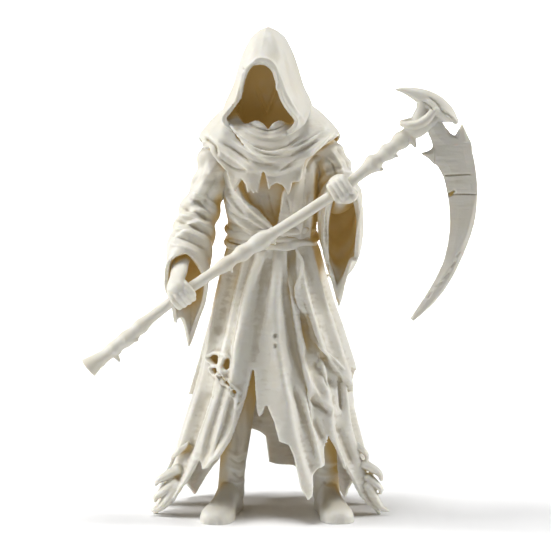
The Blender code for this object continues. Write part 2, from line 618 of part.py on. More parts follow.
def shoe(heel_x, heel_y, toe_x, toe_y):
    length = math.hypot(toe_x - heel_x, toe_y - heel_y)
    forward = np.array(((toe_x - heel_x) / length, (toe_y - heel_y) / length, 0.0))
    aside = np.array((-forward[1], forward[0], 0.0))
    rings = []
    for share, width, height in spline(SHOE_PROFILE, 22):
        middle = np.array((heel_x, heel_y, 0.0)) + forward * length * share
        ring = []
        for turn in np.linspace(0, 2 * math.pi, 20, endpoint=False):
            side, rise = math.cos(turn), math.sin(turn)
            lift = height * max(rise, 0.0) ** 0.8 if rise > 0 else -SOLE_BELOW * min(1.0, -rise * 3)
            spread = width * math.copysign(abs(side) ** 0.75, side)
            ring.append(middle + aside * spread + np.array((0.0, 0.0, lift + (0.6 if rise >= 0 else 0.0))))
        rings.append(ring)
    return skin(rings)


# The scythe

SHAFT_LINE = [
    (-57.4, -17.0, 47.6, 1.92), (-55.8, -17.0, 48.9, 1.62), (-53.6, -17.0, 50.5, 1.32), (-51.6, -17.2, 52.0, 1.20),
    (-49.6, -17.3, 53.6, 1.42), (-48.0, -17.4, 55.0, 1.25), (-45.6, -17.6, 56.9, 1.50), (-43.3, -17.8, 58.9, 1.22),
    (-41.2, -18.0, 60.8, 1.42), (-38.7, -18.0, 63.0, 1.06), (-34.1, -18.2, 66.7, 1.00), (-28.9, -18.4, 70.8, 1.00),
    (-23.4, -18.8, 74.6, 1.00), (-18.8, -19.0, 77.8, 1.05), (-15.6, -19.2, 80.0, 1.38), (-13.0, -19.3, 81.8, 1.10),
    (-10.6, -19.4, 83.4, 1.55), (-8.2, -19.4, 85.0, 1.30), (-5.8, -19.5, 86.6, 1.62), (-3.4, -19.6, 88.2, 1.50),
    (-1.4, -19.6, 89.4, 1.10), (1.1, -19.6, 91.0, 1.03), (7.2, -19.6, 94.9, 1.03), (13.3, -19.6, 99.0, 1.03),
    (20.3, -19.4, 103.6, 1.00), (24.0, -19.2, 106.7, 1.03), (27.0, -19.0, 109.2, 1.25), (29.2, -19.0, 111.0, 1.80),
    (31.1, -19.0, 112.6, 1.15), (33.3, -19.0, 114.4, 1.66), (35.2, -19.0, 116.0, 1.22), (37.4, -19.0, 117.9, 1.72),
    (39.4, -19.0, 119.7, 1.35), (41.6, -19.0, 121.4, 1.80), (44.0, -19.0, 122.8, 1.70), (46.4, -19.0, 123.8, 1.20),
]

# Knots and thorns on the shaft: root, tip and root radius
THORNS = [
    ((-50.0, -17.6, 53.2), (-47.9, -18.0, 50.0), 1.35),
    ((-45.8, -18.6, 56.6), (-42.4, -18.8, 56.6), 1.6),
    ((-14.6, -19.2, 80.4), (-13.6, -19.8, 77.8), 1.1),
    ((-3.0, -19.8, 88.4), (-0.6, -20.4, 86.6), 1.4),
    ((28.4, -19.4, 110.0), (31.6, -19.8, 109.2), 2.0),
    ((33.6, -19.4, 114.0), (36.2, -19.8, 113.2), 1.6),
    ((40.0, -19.6, 119.6), (41.6, -20.2, 116.4), 1.8),
]

# The head: a beaked ridge, the web under it, and a flange that curls up into a hood over the blade's root
HEAD = [
    [(35.7, -19.0, 133.4, 0.3), (38.2, -19.0, 133.2, 1.0), (41.4, -19.0, 132.2, 1.9), (45.0, -19.0, 130.6, 2.7),
      (48.6, -19.0, 128.2, 3.0), (51.6, -19.0, 125.9, 2.3), (54.0, -19.0, 123.9, 0.9)],
    [(44.2, -19.0, 130.6, 2.4), (44.0, -19.0, 127.6, 2.1), (43.0, -19.0, 124.6, 2.5)],
    [(47.2, -18.6, 128.6, 2.6), (46.2, -18.6, 126.2, 2.4), (45.4, -18.6, 123.8, 2.4)],
    [(45.4, -18.2, 124.0, 2.6), (49.0, -18.0, 125.2, 2.2), (52.0, -18.2, 124.6, 1.3)],
    [(37.8, -20.0, 123.1, 1.0), (40.0, -20.9, 122.8, 1.4), (42.8, -21.4, 123.3, 1.4), (45.2, -21.5, 124.9, 1.3),
      (47.4, -21.3, 127.4, 1.2), (49.2, -21.2, 127.8, 1.1), (51.6, -20.9, 125.8, 1.1), (53.8, -20.3, 123.8, 0.9)],
    [(37.8, -18.0, 123.2, 1.0), (40.6, -17.2, 123.2, 1.5), (44.6, -16.8, 124.6, 1.6), (48.6, -16.8, 126.6, 1.6),
      (52.6, -17.6, 124.6, 1.1)],
]

# Along the blade: its inner edge x and height, and its outer edge x and height
BLADE_STATIONS = [
    (44.8, 122.8, 49.4, 124.2), (45.4, 120.6, 51.2, 121.6), (46.4, 118.2, 53.2, 119.6), (46.9, 116.2, 57.9, 118.2),
    (46.0, 114.4, 59.0, 114.0), (45.8, 112.6, 59.7, 110.6), (48.4, 110.0, 60.2, 106.8), (50.2, 106.6, 60.5, 103.4),
    (51.3, 102.4, 60.5, 99.8), (52.1, 96.6, 60.1, 95.0), (52.2, 91.6, 59.2, 90.8), (51.6, 86.0, 57.6, 86.0),
    (50.2, 80.6, 55.2, 80.2), (48.1, 75.8, 52.2, 74.4), (45.5, 71.2, 48.8, 69.6), (42.8, 67.0, 45.2, 65.8),
    (40.4, 63.2, 41.4, 62.6),
]
# The two spurs at the blade's root
SPUR_STATIONS = [
    [(53.0, 117.6, 58.2, 117.6), (53.5, 119.2, 57.5, 119.2), (54.6, 120.9, 56.8, 120.9), (55.6, 122.8, 56.0, 122.8)],
    [(47.4, 116.2, 47.4, 110.6), (46.0, 114.9, 46.0, 112.0), (44.8, 114.4, 44.8, 113.0), (43.6, 114.2, 43.6, 113.8)],
]
BLADE_DEPTH = -19.0


def plate(stations, steps):
    """A blade through stations, thick along its middle and thin at both edges."""
    half, edge = in_shares(BLADE_THICKNESS) / 2, in_shares(BLADE_EDGE) / 2
    section = ((0, edge), (0.35, half), (0.8, half), (1, edge), (1, -edge), (0.8, -half), (0.35, -half), (0, -edge))
    rings = []
    for inner_x, inner_z, outer_x, outer_z in spline(stations, steps):
        inner, outer = np.array((inner_x, inner_z)), np.array((outer_x, outer_z))
        ring = []
        for share, thick in section:
            x, z = inner + (outer - inner) * share
            ring.append((x, BLADE_DEPTH + thick, z))
        rings.append(ring)
    return skin(rings)


def scythe():
    radius = in_shares(SHAFT_RADIUS)
    shaft = limb([(x, y, z, swell * radius) for x, y, z, swell in SHAFT_LINE], 160, 16, cut_start=True)
    thorns = [limb([(*root, size), (*((np.array(root) + tip) / 2), size * 0.7), (*tip, size * 0.3)], 6, 10)
              for root, tip, size in THORNS]
    head = [limb(line, 4 * len(line), 12) for line in HEAD]
    return [shaft, plate(BLADE_STATIONS, 50)] + thorns + head + [plate(spur, 8) for spur in SPUR_STATIONS]


# The casting


def joined(name, forms):
    """One mesh that holds all the overlapping forms, at real size."""
    points, faces, count = [], [], 0
    for form_points, form_faces in forms:
        points.append(np.asarray(form_points) * SHARE)
        faces.extend(tuple(index + count for index in face) for face in form_faces)
        count += len(form_points)
    mesh = bpy.data.meshes.new(name)
    mesh.from_pydata(np.vstack(points).tolist(), [], faces)
    whole = bmesh.new()
    whole.from_mesh(mesh)
    bmesh.ops.recalc_face_normals(whole, faces=whole.faces)
    whole.to_mesh(mesh)
    whole.free()
    return mesh


def cutter(name, mesh):
    """An object that only cuts: it's drawn as wires and isn't a piece of the figure."""
    tool = bpy.data.objects.new(name, mesh)
    bpy.context.collection.objects.link(tool)
    tool.hide_render = True
    tool.display_type = "WIRE"
    return tool


def ground_slab():
    """A slab whose top is the ground, which cuts the soles and the hem's lowest tips flat."""
    side = SHARES
    corners = ((-side, -side), (side, -side), (side, side), (-side, side))
    return skin([[(x, y, height) for x, y in corners] for height in (-in_shares(GROUND_CUT_DEPTH), 0.0)])


def evaluated(obj):
    bpy.context.view_layer.update()
    return obj.evaluated_get(bpy.context.evaluated_depsgraph_get())


def cast_in_one(mesh, material):
    """Fuses the overlapping forms into one closed body, thins its mesh, and cuts the ground and the holes."""
    figure = bpy.data.objects.new("grim_reaper", mesh)
    bpy.context.collection.objects.link(figure)
    mesh.materials.append(material)
    fuse = figure.modifiers.new("fuse", "REMESH")
    fuse.mode = "VOXEL"
    fuse.voxel_size = CASTING_GRAIN
    fuse.use_smooth_shade = True
    quads = len(evaluated(figure).data.polygons)
    thin = figure.modifiers.new("thin", "DECIMATE")
    thin.ratio = min(1.0, CASTING_TRIANGLES / (2 * quads))
    thin.use_collapse_triangulate = True
    for name, forms in (("ground", [ground_slab()]), ("worn_holes", hole_cutters())):
        cut = figure.modifiers.new(name, "BOOLEAN")
        cut.operation = "DIFFERENCE"
        cut.solver = "EXACT"
        cut.use_self = name == "worn_holes"
        cut.object = cutter(name, joined(name, forms))
    corners = np.array(evaluated(figure).bound_box)
    middle = (corners.min(0) + corners.max(0)) / 2
    figure.location = (-middle[0], -middle[1], 0)
    for tool in (modifier.object for modifier in figure.modifiers if modifier.type == "BOOLEAN"):
        tool.parent = figure
    return figure


def resin():
    material = bpy.data.materials.new("ivory_resin")
    material.use_nodes = True
    shader = material.node_tree.nodes["Principled BSDF"]
    shader.inputs["Base Color"].default_value = RESIN_COLOUR
    shader.inputs["Roughness"].default_value = RESIN_ROUGHNESS
    shader.inputs["Metallic"].default_value = 0.0
    return material


def all_forms():
    forms = [skirt(), coat_tails(), bodice(), body(), mantle(), hood(), shoulders()]
    forms += [right_sleeve(), left_sleeve()] + right_hand() + left_hand()
    forms += belt() + scythe()
    forms += [limb(curl, 4 * len(curl), 10) for curl in HEM_CURLS]
    forms += [limb(leg, 24, 16) for leg in LEGS]
    forms += [shoe(*place) for place in SHOE_PLACES]
    return forms


def main():
    for obj in list(bpy.data.objects):
        bpy.data.objects.remove(obj)
    cast_in_one(joined("grim_reaper", all_forms()), resin())


main()
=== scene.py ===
# A hooded figure with a scythe, cast in ivory resin: its looks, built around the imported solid.
# The free form is drawn in shares, 150 of them to the figure's height. The front faces -Y.

import math

import bmesh
import bpy
import numpy as np
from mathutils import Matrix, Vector
from mathutils.bvhtree import BVHTree


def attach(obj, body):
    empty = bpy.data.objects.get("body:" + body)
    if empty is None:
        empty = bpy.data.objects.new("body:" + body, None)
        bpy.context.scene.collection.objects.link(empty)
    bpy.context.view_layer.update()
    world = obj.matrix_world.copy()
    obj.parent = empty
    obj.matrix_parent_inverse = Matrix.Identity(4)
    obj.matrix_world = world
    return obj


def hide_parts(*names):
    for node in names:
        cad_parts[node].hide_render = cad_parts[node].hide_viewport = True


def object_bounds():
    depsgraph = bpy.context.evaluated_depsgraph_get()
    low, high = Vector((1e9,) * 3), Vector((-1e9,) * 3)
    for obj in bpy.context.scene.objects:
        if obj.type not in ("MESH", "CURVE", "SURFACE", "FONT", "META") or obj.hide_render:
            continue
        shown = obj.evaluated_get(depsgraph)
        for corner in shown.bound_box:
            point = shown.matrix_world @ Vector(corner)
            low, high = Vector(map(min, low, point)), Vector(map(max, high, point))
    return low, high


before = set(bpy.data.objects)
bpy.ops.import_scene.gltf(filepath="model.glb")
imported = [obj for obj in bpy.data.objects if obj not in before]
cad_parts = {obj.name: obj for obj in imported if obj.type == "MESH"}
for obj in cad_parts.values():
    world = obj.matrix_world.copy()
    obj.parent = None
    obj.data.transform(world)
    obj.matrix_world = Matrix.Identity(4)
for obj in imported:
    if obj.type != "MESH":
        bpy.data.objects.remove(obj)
cadLow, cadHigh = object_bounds()
share = (cadHigh.z - cadLow.z) / 150

casting = {
    "fine": 1.0,  # how many rows and columns the lofts get
    "grain": 1.0,  # how much coarser each piece is fused
    "seed": 7,
}


# Curves and lofts


def smoothPath(knots, count, closed=False):
    knots = np.asarray(knots, float)
    spans = len(knots) if closed else len(knots) - 1
    along = np.linspace(0, spans, count, endpoint=not closed)
    index = np.minimum(along.astype(int), spans - 1)
    part = (along - index)[:, None]
    if closed:
        before, start, end, after = (knots[(index + k) % spans] for k in (-1, 0, 1, 2))
    else:
        padded = np.vstack([2 * knots[0] - knots[1], knots, 2 * knots[-1] - knots[-2]])
        before, start, end, after = (padded[index + k] for k in (0, 1, 2, 3))
    return 0.5 * (
        2 * start
        + (end - before) * part
        + (2 * before - 5 * start + 4 * end - after) * part**2
        + (3 * start - before - 3 * end + after) * part**3
    )


def readTable(table, at):  # each column after the first, at these values of the first
    table = np.asarray(table, float)
    table = table[np.argsort(table[:, 0])]
    fine = smoothPath(table, 40 * len(table))
    return [np.interp(at, fine[:, 0], fine[:, k]) for k in range(1, table.shape[1])]


def raggedEdge(edge, angle):  # an edge's height, straight between its points
    angles, heights = zip(*edge)
    return np.interp(angle, angles, heights, period=360)


def gridNormals(grid):
    across = np.roll(grid, -1, 1) - np.roll(grid, 1, 1)
    normal = np.cross(across, np.gradient(grid, axis=0))
    normal /= np.maximum(np.linalg.norm(normal, axis=2, keepdims=True), 1e-9)
    facing = np.sign((normal * (grid - grid.mean(1, keepdims=True))).sum())
    return normal * facing


def loft(rings, closed=False):  # a closed mesh through rings of points
    rings = np.asarray(rings, float)
    rows, columns = rings.shape[:2]
    points = rings.reshape(-1, 3)
    row, column = np.meshgrid(np.arange(rows if closed else rows - 1), np.arange(columns), indexing="ij")
    here, there, beside = row * columns, (row + 1) % rows * columns, (column + 1) % columns
    quads = np.stack([here + column, here + beside, there + beside, there + column], axis=-1).reshape(-1, 4)
    faces = quads.tolist()
    if not closed:
        last = (rows - 1) * columns
        points = np.vstack([points, rings[0].mean(0), rings[-1].mean(0)])
        for k in range(columns):
            faces.append([len(points) - 2, (k + 1) % columns, k])
            faces.append([len(points) - 1, last + k, last + (k + 1) % columns])
    return points, faces


def openBag(outer, wall, deepRows):  # open at its last ring, where the wall turns in
    inner = outer - gridNormals(outer) * wall
    return loft(np.concatenate([outer, inner[::-1][:deepRows]]))


def openShell(outer, inner):  # open at both ends
    return loft(np.concatenate([outer, inner[::-1]]), closed=True)


def sidesAlong(path, side=(0.0, 0.0, 1.0)):  # two directions across a path, without twist
    tangent = np.gradient(path, axis=0)
    tangent /= np.linalg.norm(tangent, axis=1, keepdims=True)
    across = np.cross(tangent[0], side)
    if np.linalg.norm(across) < 0.1:
        across = np.cross(tangent[0], (0.0, 1.0, 0.0))
    first, second = [], []
    for step in tangent:
        across = across - step * across.dot(step)
        across /= np.linalg.norm(across)
        first.append(across)
        second.append(np.cross(across, step))
    return np.array(first), np.array(second)


def limb(knots, steps=24, sides=14, flat=1.0, side=(0.0, 0.0, 1.0), cutStart=False, swell=None):
    line = smoothPath(knots, steps)
    path, radius = line[:, :3], np.maximum(line[:, 3], 0.05)
    first, second = sidesAlong(path, side)
    turn = np.linspace(0, 2 * math.pi, sides, endpoint=False)[:, None]
    startWay = (path[0] - path[1]) / np.linalg.norm(path[1] - path[0])
    endWay = (path[-1] - path[-2]) / np.linalg.norm(path[-1] - path[-2])
    caps = (0.35, 0.75, 0.95)
    stops = []
    if not cutStart:
        stops += [(path[0] + startWay * radius[0] * flat * (1 - c * c) ** 0.5, radius[0] * c, 0) for c in caps]
    stops += [(path[k], radius[k], k) for k in range(steps)]
    stops += [(path[-1] + endWay * radius[-1] * flat * (1 - c * c) ** 0.5, radius[-1] * c, -1) for c in caps[::-1]]
    rings = []
    for spot, r, k in stops:
        lump = 1 if swell is None else 1 + swell(k / steps if k >= 0 else 1.0, turn)
        rings.append(spot + r * lump * (np.cos(turn) * first[k] + flat * np.sin(turn) * second[k]))
    return loft(rings)


def ringAt(angles, width, depth, middleX, middleY, height):  # angle 0 is the front, 90 the figure's left
    turn = np.radians(angles)
    return np.stack([middleX + width * np.sin(turn), middleY - depth * np.cos(turn), height], axis=-1)


def fineCount(count):
    return int(count * casting["fine"])


# The robe: a skirt, the coat's tails over it and the bodice above the belt

robe = {
    "innerShare": 0.7,  # how far up the skirt's inner wall goes
    "skirtTop": 87.0,
    "coatTop": 85.5,
    "skirtWall": 1.3,
    "coatOverlap": 0.4,
    "bodiceWall": 1.8,
    # Height, middle x, middle y, half width, half depth
    "profile": [
        (0, -2.9, 0.5, 35.6, 26.5), (4, -2.9, 0.5, 34.2, 25.6), (16, -2.2, 0.5, 29.2, 23.2), (28, -2, 0.5, 25.6, 21),
        (44, -0.9, 0.5, 22, 17.8), (66, -1.8, 0.3, 16.9, 13.2), (80, -1.5, 0, 13.9, 10.6), (87, -1.7, 0, 12.6, 9.4),
        (98, -1.8, 0, 13.6, 10.4), (108, -1.8, 0.2, 14.6, 10.6), (116, -2, 0.4, 13.5, 9.4),
    ],
    # Where each fold lies at heights 80, 48 and 8, its width in degrees and how far it stands out
    "folds": [
        (-17, -32, -39, 6, 2.5), (-38, -48, -56, 6, 1.7), (1, 4, 16, 9.5, 2.3), (19, 25, 34, 5, 1.9),
        (33, 43, 51, 5.5, 1.8), (60, 66, 72, 6.5, 1.7), (88, 92, 94, 7.5, 1.8), (112, 116, 120, 6.5, 1.9),
        (136, 140, 142, 6.5, 1.7), (160, 162, 166, 7.5, 2), (186, 188, 190, 6.5, 1.8), (210, 212, 212, 7.5, 1.9),
        (236, 236, 236, 6.5, 1.8), (262, 262, 264, 7.5, 1.8), (286, 284, 284, 6, 1.5),
    ],
    "skirtHem": [
        (-172, 20.5), (-166, 21.5), (-160, 19), (-153, 15), (-147, 9), (-138, 1), (-130, 5), (-122, 12), (-116, 4),
        (-108, 0), (-102, 4), (-98, 7), (-94, 17), (-91, 20), (-89, 8), (-86, 13), (-83, 4), (-80, 8), (-76, 0),
        (-68, 3), (-60, 6), (-54, 12), (-50, 19.5), (-46, 16), (-41, 17), (-34, 21), (-29, 25), (-26, 31), (-23, 38),
        (-19.5, 47), (-17.5, 47), (-15, 41), (-12, 35), (-9.5, 33), (-7, 34), (-5, 37), (-2, 35), (2, 32), (6, 26),
        (12, 25), (15, 21.5), (18, 12), (21.5, 8), (24, 9), (26, 15), (30, 17.5), (36, 18), (40, 24), (43.5, 27),
        (48, 21.5), (51, 16), (55, 17.5), (60, 12.5), (63, 7), (68, 3), (74, 0), (80, 2), (84, 8), (87, 5), (90, 14),
        (93, 17), (96, 6), (100, 8), (106, 0), (113, 3), (120, 10), (128, 5), (136, 0), (143, 4), (150, 11),
        (158, 6), (166, 9), (174, 9.5), (180, 10.5), (183, 19), (186, 20),
    ],
    "coatHem": [
        (-97, 84), (-97.5, 60), (-98.5, 42), (-100, 35), (-106, 37), (-114, 30), (-124, 36), (-140, 26), (-152, 33),
        (-166, 25), (-180, 31), (170, 24), (156, 33), (142, 27), (130, 36), (118, 30), (106, 37), (96, 43),
        (84, 45), (79, 37.5), (66, 41), (56, 46), (48, 49.5), (38, 53.5), (34, 59), (31, 66), (29.5, 76), (29, 84),
    ],
    "bodiceTop": [
        (-60, 112), (-45, 105), (-40, 101), (-31, 97.5), (-18, 95.5), (3, 89.5), (8, 90.5), (12.5, 95), (14, 100),
        (21, 104), (32, 112), (180, 112),
    ],
    # Curled rags on the hem's two sides: x, y, height and radius along each
    "curls": [
        [(-30.5, -7.4, 14, 2.4), (-33.4, -8, 12.6, 2), (-36, -8.4, 11.2, 1.4), (-37.2, -8.6, 9.8, 0.8)],
        [(-31.4, -8.2, 10, 2.6), (-34.2, -8.9, 8, 2.2), (-36.8, -9.2, 6.2, 1.4), (-37.4, -9.4, 4.8, 0.8)],
        [(-30.6, -9, 9.4, 2.6), (-33.4, -9.5, 5.4, 2.3), (-35.8, -9.5, 2.6, 1.6), (-38.2, -9.2, 1.7, 0.7)],
        [(-27, -8, 22, 1.4), (-29.6, -7.6, 20, 1.2), (-31.4, -7, 18.6, 0.9), (-32.2, -6.6, 17.4, 0.6)],
        [(24.4, -6.2, 21.5, 1.4), (26.4, -6.6, 19.8, 1.3), (27.6, -7, 18.2, 1), (27.4, -7.4, 16.8, 0.7)],
        [(27, -7, 15.6, 2), (29.6, -7.4, 14.2, 1.8), (31.6, -7.8, 12.6, 1.2), (32, -8.1, 11.2, 0.8)],
        [(28, -7.4, 11.6, 2), (30.2, -8, 9.8, 1.7), (31.8, -8.3, 8.2, 1.1), (31.8, -8.5, 7, 0.7)],
        [(28, -8, 9.2, 2.2), (30.2, -8.8, 5, 1.9), (32.2, -9.1, 2.5, 1.4), (34.2, -9.2, 1.6, 0.6)],
    ],
    # Worn holes: x and height of the middle, half width, half height, lean in degrees
    "holes": [
        (-19.6, 48.4, 1.5, 1.5, 10), (-19.4, 45, 0.9, 1.1, 0), (-15.7, 47.7, 1.1, 2.2, -12),
        (-15.9, 42.8, 0.7, 2.3, 50), (-13.2, 39.4, 0.7, 1.8, 25), (-11.9, 36.6, 0.8, 0.8, 0),
    ],
}


def foldSwell(angle, height):
    swell = np.zeros(np.broadcast(angle, height).shape)
    for high, mid, low, width, stand in robe["folds"]:
        place = np.interp(height, (8, 48, 80), (low, mid, high))
        away = (angle - place + 180) % 360 - 180
        swell += stand * np.exp(-((away / width) ** 2))
    return (swell - 0.9) * np.interp(height, (0, 30, 62, 81, 86), (1.2, 1.1, 0.9, 0.65, 0.0))


def robeSurface(angle, height, offset=0.0):
    middleX, middleY, width, depth = readTable(robe["profile"], height)
    swell = foldSwell(angle, height) + offset
    return ringAt(angle, width + swell, depth + swell, middleX, middleY, height)


def angles(columns):
    return np.linspace(-180, 180, columns, endpoint=False)[None, :]


def holesIn(x, height):  # 1 and less is inside a worn hole
    inside = np.full(x.shape, 9.0)
    for middle, level, halfWidth, halfHeight, lean in robe["holes"]:
        turn = math.radians(lean)
        across = (x - middle) * math.cos(turn) + (height - level) * math.sin(turn)
        along = (height - level) * math.cos(turn) - (x - middle) * math.sin(turn)
        wobble = 1 + 0.14 * np.sin(3 * np.arctan2(along, across) + middle)
        inside = np.minimum(inside, np.hypot(across / halfWidth, along / halfHeight) / wobble)
    return inside


def makeSkirt():
    columns, rows = fineCount(720), fineCount(190)
    top = robe["skirtTop"]
    angle = angles(columns)
    height = top + (raggedEdge(robe["skirtHem"], angle) - 0.3 - top) * np.linspace(0, 1, rows)[:, None]
    outer = robeSurface(angle, height)
    curl = 0.9 * np.exp(-(((holesIn(outer[..., 0], height) - 1.05) / 0.3) ** 2)) * (outer[..., 1] < -4)
    outer = robeSurface(angle, height, curl)
    inner = robeSurface(angle, height, curl - robe["skirtWall"])
    deep = int(rows * robe["innerShare"])
    points, faces = loft(np.concatenate([outer, inner[::-1][:deep]]))
    middle = (outer[:-1] + outer[1:]) / 2
    worn = (holesIn(middle[..., 0], middle[..., 2]) < 1) & (middle[..., 1] < -4)

    def cellOf(face):  # the outer wall's cell that a face belongs to or lies behind
        row, column = min(face) // columns, min(corner % columns for corner in face)
        if max(corner % columns for corner in face) - column > 1:
            column = columns - 1
        return (row if row < rows - 1 else 2 * rows - 2 - row), column

    kept = [face for face in faces if len(face) == 3 or min(face) // columns == rows - 1 or not worn[cellOf(face)]]
    for row, column in zip(*np.nonzero(worn)):  # walls between the outer and the inner edge of each hole
        for beside, first, last in (((row - 1, column), (row, column), (row, column + 1)),
                                    ((row + 1, column), (row + 1, column + 1), (row + 1, column)),
                                    ((row, column - 1), (row + 1, column), (row, column)),
                                    ((row, column + 1), (row, column + 1), (row + 1, column + 1))):
            if not worn[beside]:
                outside = [first[0] * columns + first[1], last[0] * columns + last[1]]
                within = [(2 * rows - 1 - r) * columns + c for r, c in (last, first)]
                kept.append([int(corner) for corner in outside + within])
    return points, kept


def makeCoatTails():
    columns, rows = fineCount(560), fineCount(80)
    top = robe["coatTop"]
    angle = angles(columns)
    height = top + (raggedEdge(robe["coatHem"], angle) - top) * np.linspace(0, 1, rows)[:, None]
    frontEdge = 1.2 * np.exp(-(((angle - 36) / 7) ** 2)) * np.interp(height, (50, 78), (1.0, 0.3))
    backEdge = np.exp(-(((angle + 98) / 20) ** 2)) * np.interp(height, (34, 48, 62), (0.9, 1.3, 2.0))
    standOff = np.interp(height, (30, 60, 80), (2.9, 2.0, 0.6)) + frontEdge - backEdge
    return openShell(robeSurface(angle, height, standOff), robeSurface(angle, height, -robe["coatOverlap"]))


bodice = {
    "bottom": 84.2,
    # The angle and height where each crease starts and ends, and how far it stands out
    "creases": [
        (-80, 101, -8, 88.5, 0.9), (-84, 96, -14, 86.5, 0.8), (-78, 106, -22, 96, 0.7), (-50, 92, -20, 87, 0.6),
        (30, 108, 24, 90, 0.9), (46, 109, 40, 86, 1), (66, 108, 60, 86, 0.8), (90, 104, 84, 87, 0.8),
        (124, 107, 150, 88, 0.8), (150, 107, 178, 90, 0.9), (208, 107, 184, 90, 0.8), (236, 106, 214, 88, 0.9),
        (262, 106, 250, 88, 0.8),
    ],
}


def makeBodice():
    columns, rows = fineCount(420), fineCount(70)
    angle = angles(columns)
    edge = raggedEdge(robe["bodiceTop"], angle)
    height = bodice["bottom"] + (edge - bodice["bottom"]) * np.linspace(0, 1, rows)[:, None]
    swell = np.zeros(height.shape)
    for fromAngle, fromHeight, toAngle, toHeight, stand in bodice["creases"]:
        span = math.radians(toAngle - fromAngle) * 13
        drop = (toHeight - fromHeight) / span
        lean = math.hypot(1, drop)
        off = np.radians((angle - fromAngle + 180) % 360 - 180) * 13
        away = (height - fromHeight - drop * off) / lean
        along = (off + drop * (height - fromHeight)) / lean**2 / span
        within = np.clip(4 * along * (1 - along) + 0.35, 0, 1)
        swell += stand * np.exp(-((away / 1.3) ** 2)) * within * np.interp(height, (98, 103), (1.0, 0.2))
    return openShell(robeSurface(angle, height, 0.7 + swell), robeSurface(angle, height, 0.7 - robe["bodiceWall"]))


def makeTrunk():  # solid inside the robe, sunk at the front where the wraps part
    angle = angles(80)
    front = np.exp(-((angle / 42) ** 2))
    rings = []
    for height in np.linspace(74, 113, 32):
        recess = front * np.interp(height, (88, 94, 107, 111), (0.0, 3.2, 3.6, 1.0))
        inset = -0.5 - recess - np.interp(height, (83, 87), (2.6, 0.0))  # inside the skirt below
        rings.append(robeSurface(angle, np.full((1, 80), height), inset)[0])
    return loft(rings)


# The mantle over the shoulders, and the hanging folds at the neck

mantle = {
    "wall": 1.2,
    "middle": (-2.2, 0.4),
    "neckWidth": 10.6,
    "neckDepth": 10.9,
    "hem": [
        (-90, 117.2), (-77, 115.6), (-71, 113.4), (-67.5, 114.2), (-55, 109.4), (-49, 107.2), (-45.5, 103.6),
        (-41, 101), (-38, 103.4), (-34.5, 105.2), (-28.5, 103.6), (-25, 101), (-22, 102.4), (-19, 100.8),
        (-17, 102), (-14, 100.9), (-12, 104), (-9, 107.8), (-6.5, 107.8), (-4, 105.5), (-1, 102.2), (1.5, 103.6),
        (8, 104.4), (15, 103.6), (19, 102), (21.5, 100.4), (24, 102), (27, 104.2), (34, 104.4), (38, 105.6),
        (41, 108.2), (44, 110), (55, 113.2), (63, 114.8), (79, 116.8), (90, 117.2), (100, 114.6), (112, 111),
        (122, 105.4), (130, 102.6), (136, 104.8), (142, 98.4), (149, 96.6), (155, 101), (163, 95.6), (169, 98.8),
        (174, 97.2), (180, 92.6), (187, 97.6), (196, 95.6), (203, 101), (211, 97.4), (218, 99.6), (224, 104),
        (232, 102.4), (242, 108.5), (255, 113), (264, 115),
    ],
    # Angle from the front and how far the mantle reaches there at its hem
    "reach": [
        (0, 15.6), (30, 16), (45, 17.2), (60, 19.6), (75, 21.3), (90, 21.6), (110, 20.8), (135, 18.6), (180, 14.8),
    ],
    # Angle from the front and the height where it starts to widen
    "startAt": [(0, 122), (42, 122), (66, 124.6), (90, 126.6), (130, 125), (180, 123.5)],
    # Angle from the front and the height where it is at its full width
    "fullAt": [(0, 101.5), (38, 102.5), (52, 108), (66, 113.2), (90, 117), (112, 110.5), (136, 101.5), (180, 95)],
    # Each hanging fold: its middle x, its lowest height, how it curves up to either side, and its stand-out
    "swags": [(-0.6, 113.6, 0.048, 0.028, 1.5), (1.4, 110.4, 0.046, 0.03, 1.4), (-2, 107.4, 0.03, 0.034, 0.9)],
    "cowlTop": [
        (-180, 124), (-130, 125), (-90, 126), (-66, 124.4), (-45, 121.6), (-32, 122.2), (-20, 122.7),
        (-9, 121.7), (-2.5, 120.3), (4, 121.7), (15, 122.7), (26, 122.3), (34, 121.6), (46, 122.4), (66, 124.4),
        (90, 126), (130, 125), (180, 124),
    ],
}


def swagSwell(x, height):
    swell = np.zeros(np.broadcast(x, height).shape)
    for middle, low, curveLeft, curveRight, stand in mantle["swags"]:
        aside = x - middle
        above = height - low - np.where(aside < 0, curveLeft, curveRight) * aside**2
        swell += stand * np.where(above > 0, np.exp(-((above / 1.9) ** 2)), np.exp(-((above / 0.85) ** 2)))
    return swell


def mantleSurface(angle, height, inset=0.0):
    front = np.cos(np.radians(angle))
    reach = readTable(mantle["reach"], np.abs(angle))[0]
    edge = readTable(mantle["fullAt"], np.abs(angle))[0]
    start = readTable(mantle["startAt"], np.abs(angle))[0]
    down = np.clip((start - height) / (start - edge), 0, 1.06)
    width = mantle["neckWidth"] + (reach - mantle["neckWidth"]) * down**0.65 - inset * 0.8
    depth = mantle["neckDepth"] + (reach * 0.9 - mantle["neckDepth"]) * down**0.5 - inset * 0.8
    ripples = 0.45 * np.sin(np.radians(angle * 9)) * (front < 0.3) + 0.25 * np.sin(np.radians(angle * 11 + 30))
    notch = 0.8 * np.exp(-(((angle + 2.5) / 6) ** 2)) * np.interp(height, (116, 121), (0.0, 1.0))
    x = mantle["middle"][0] + width * np.sin(np.radians(angle))
    swell = ripples * down + swagSwell(x, height) * np.clip(front * 1.6, 0, 1) - notch
    return ringAt(angle, width + swell * 0.5, depth + swell, *mantle["middle"], height - inset * 0.5)


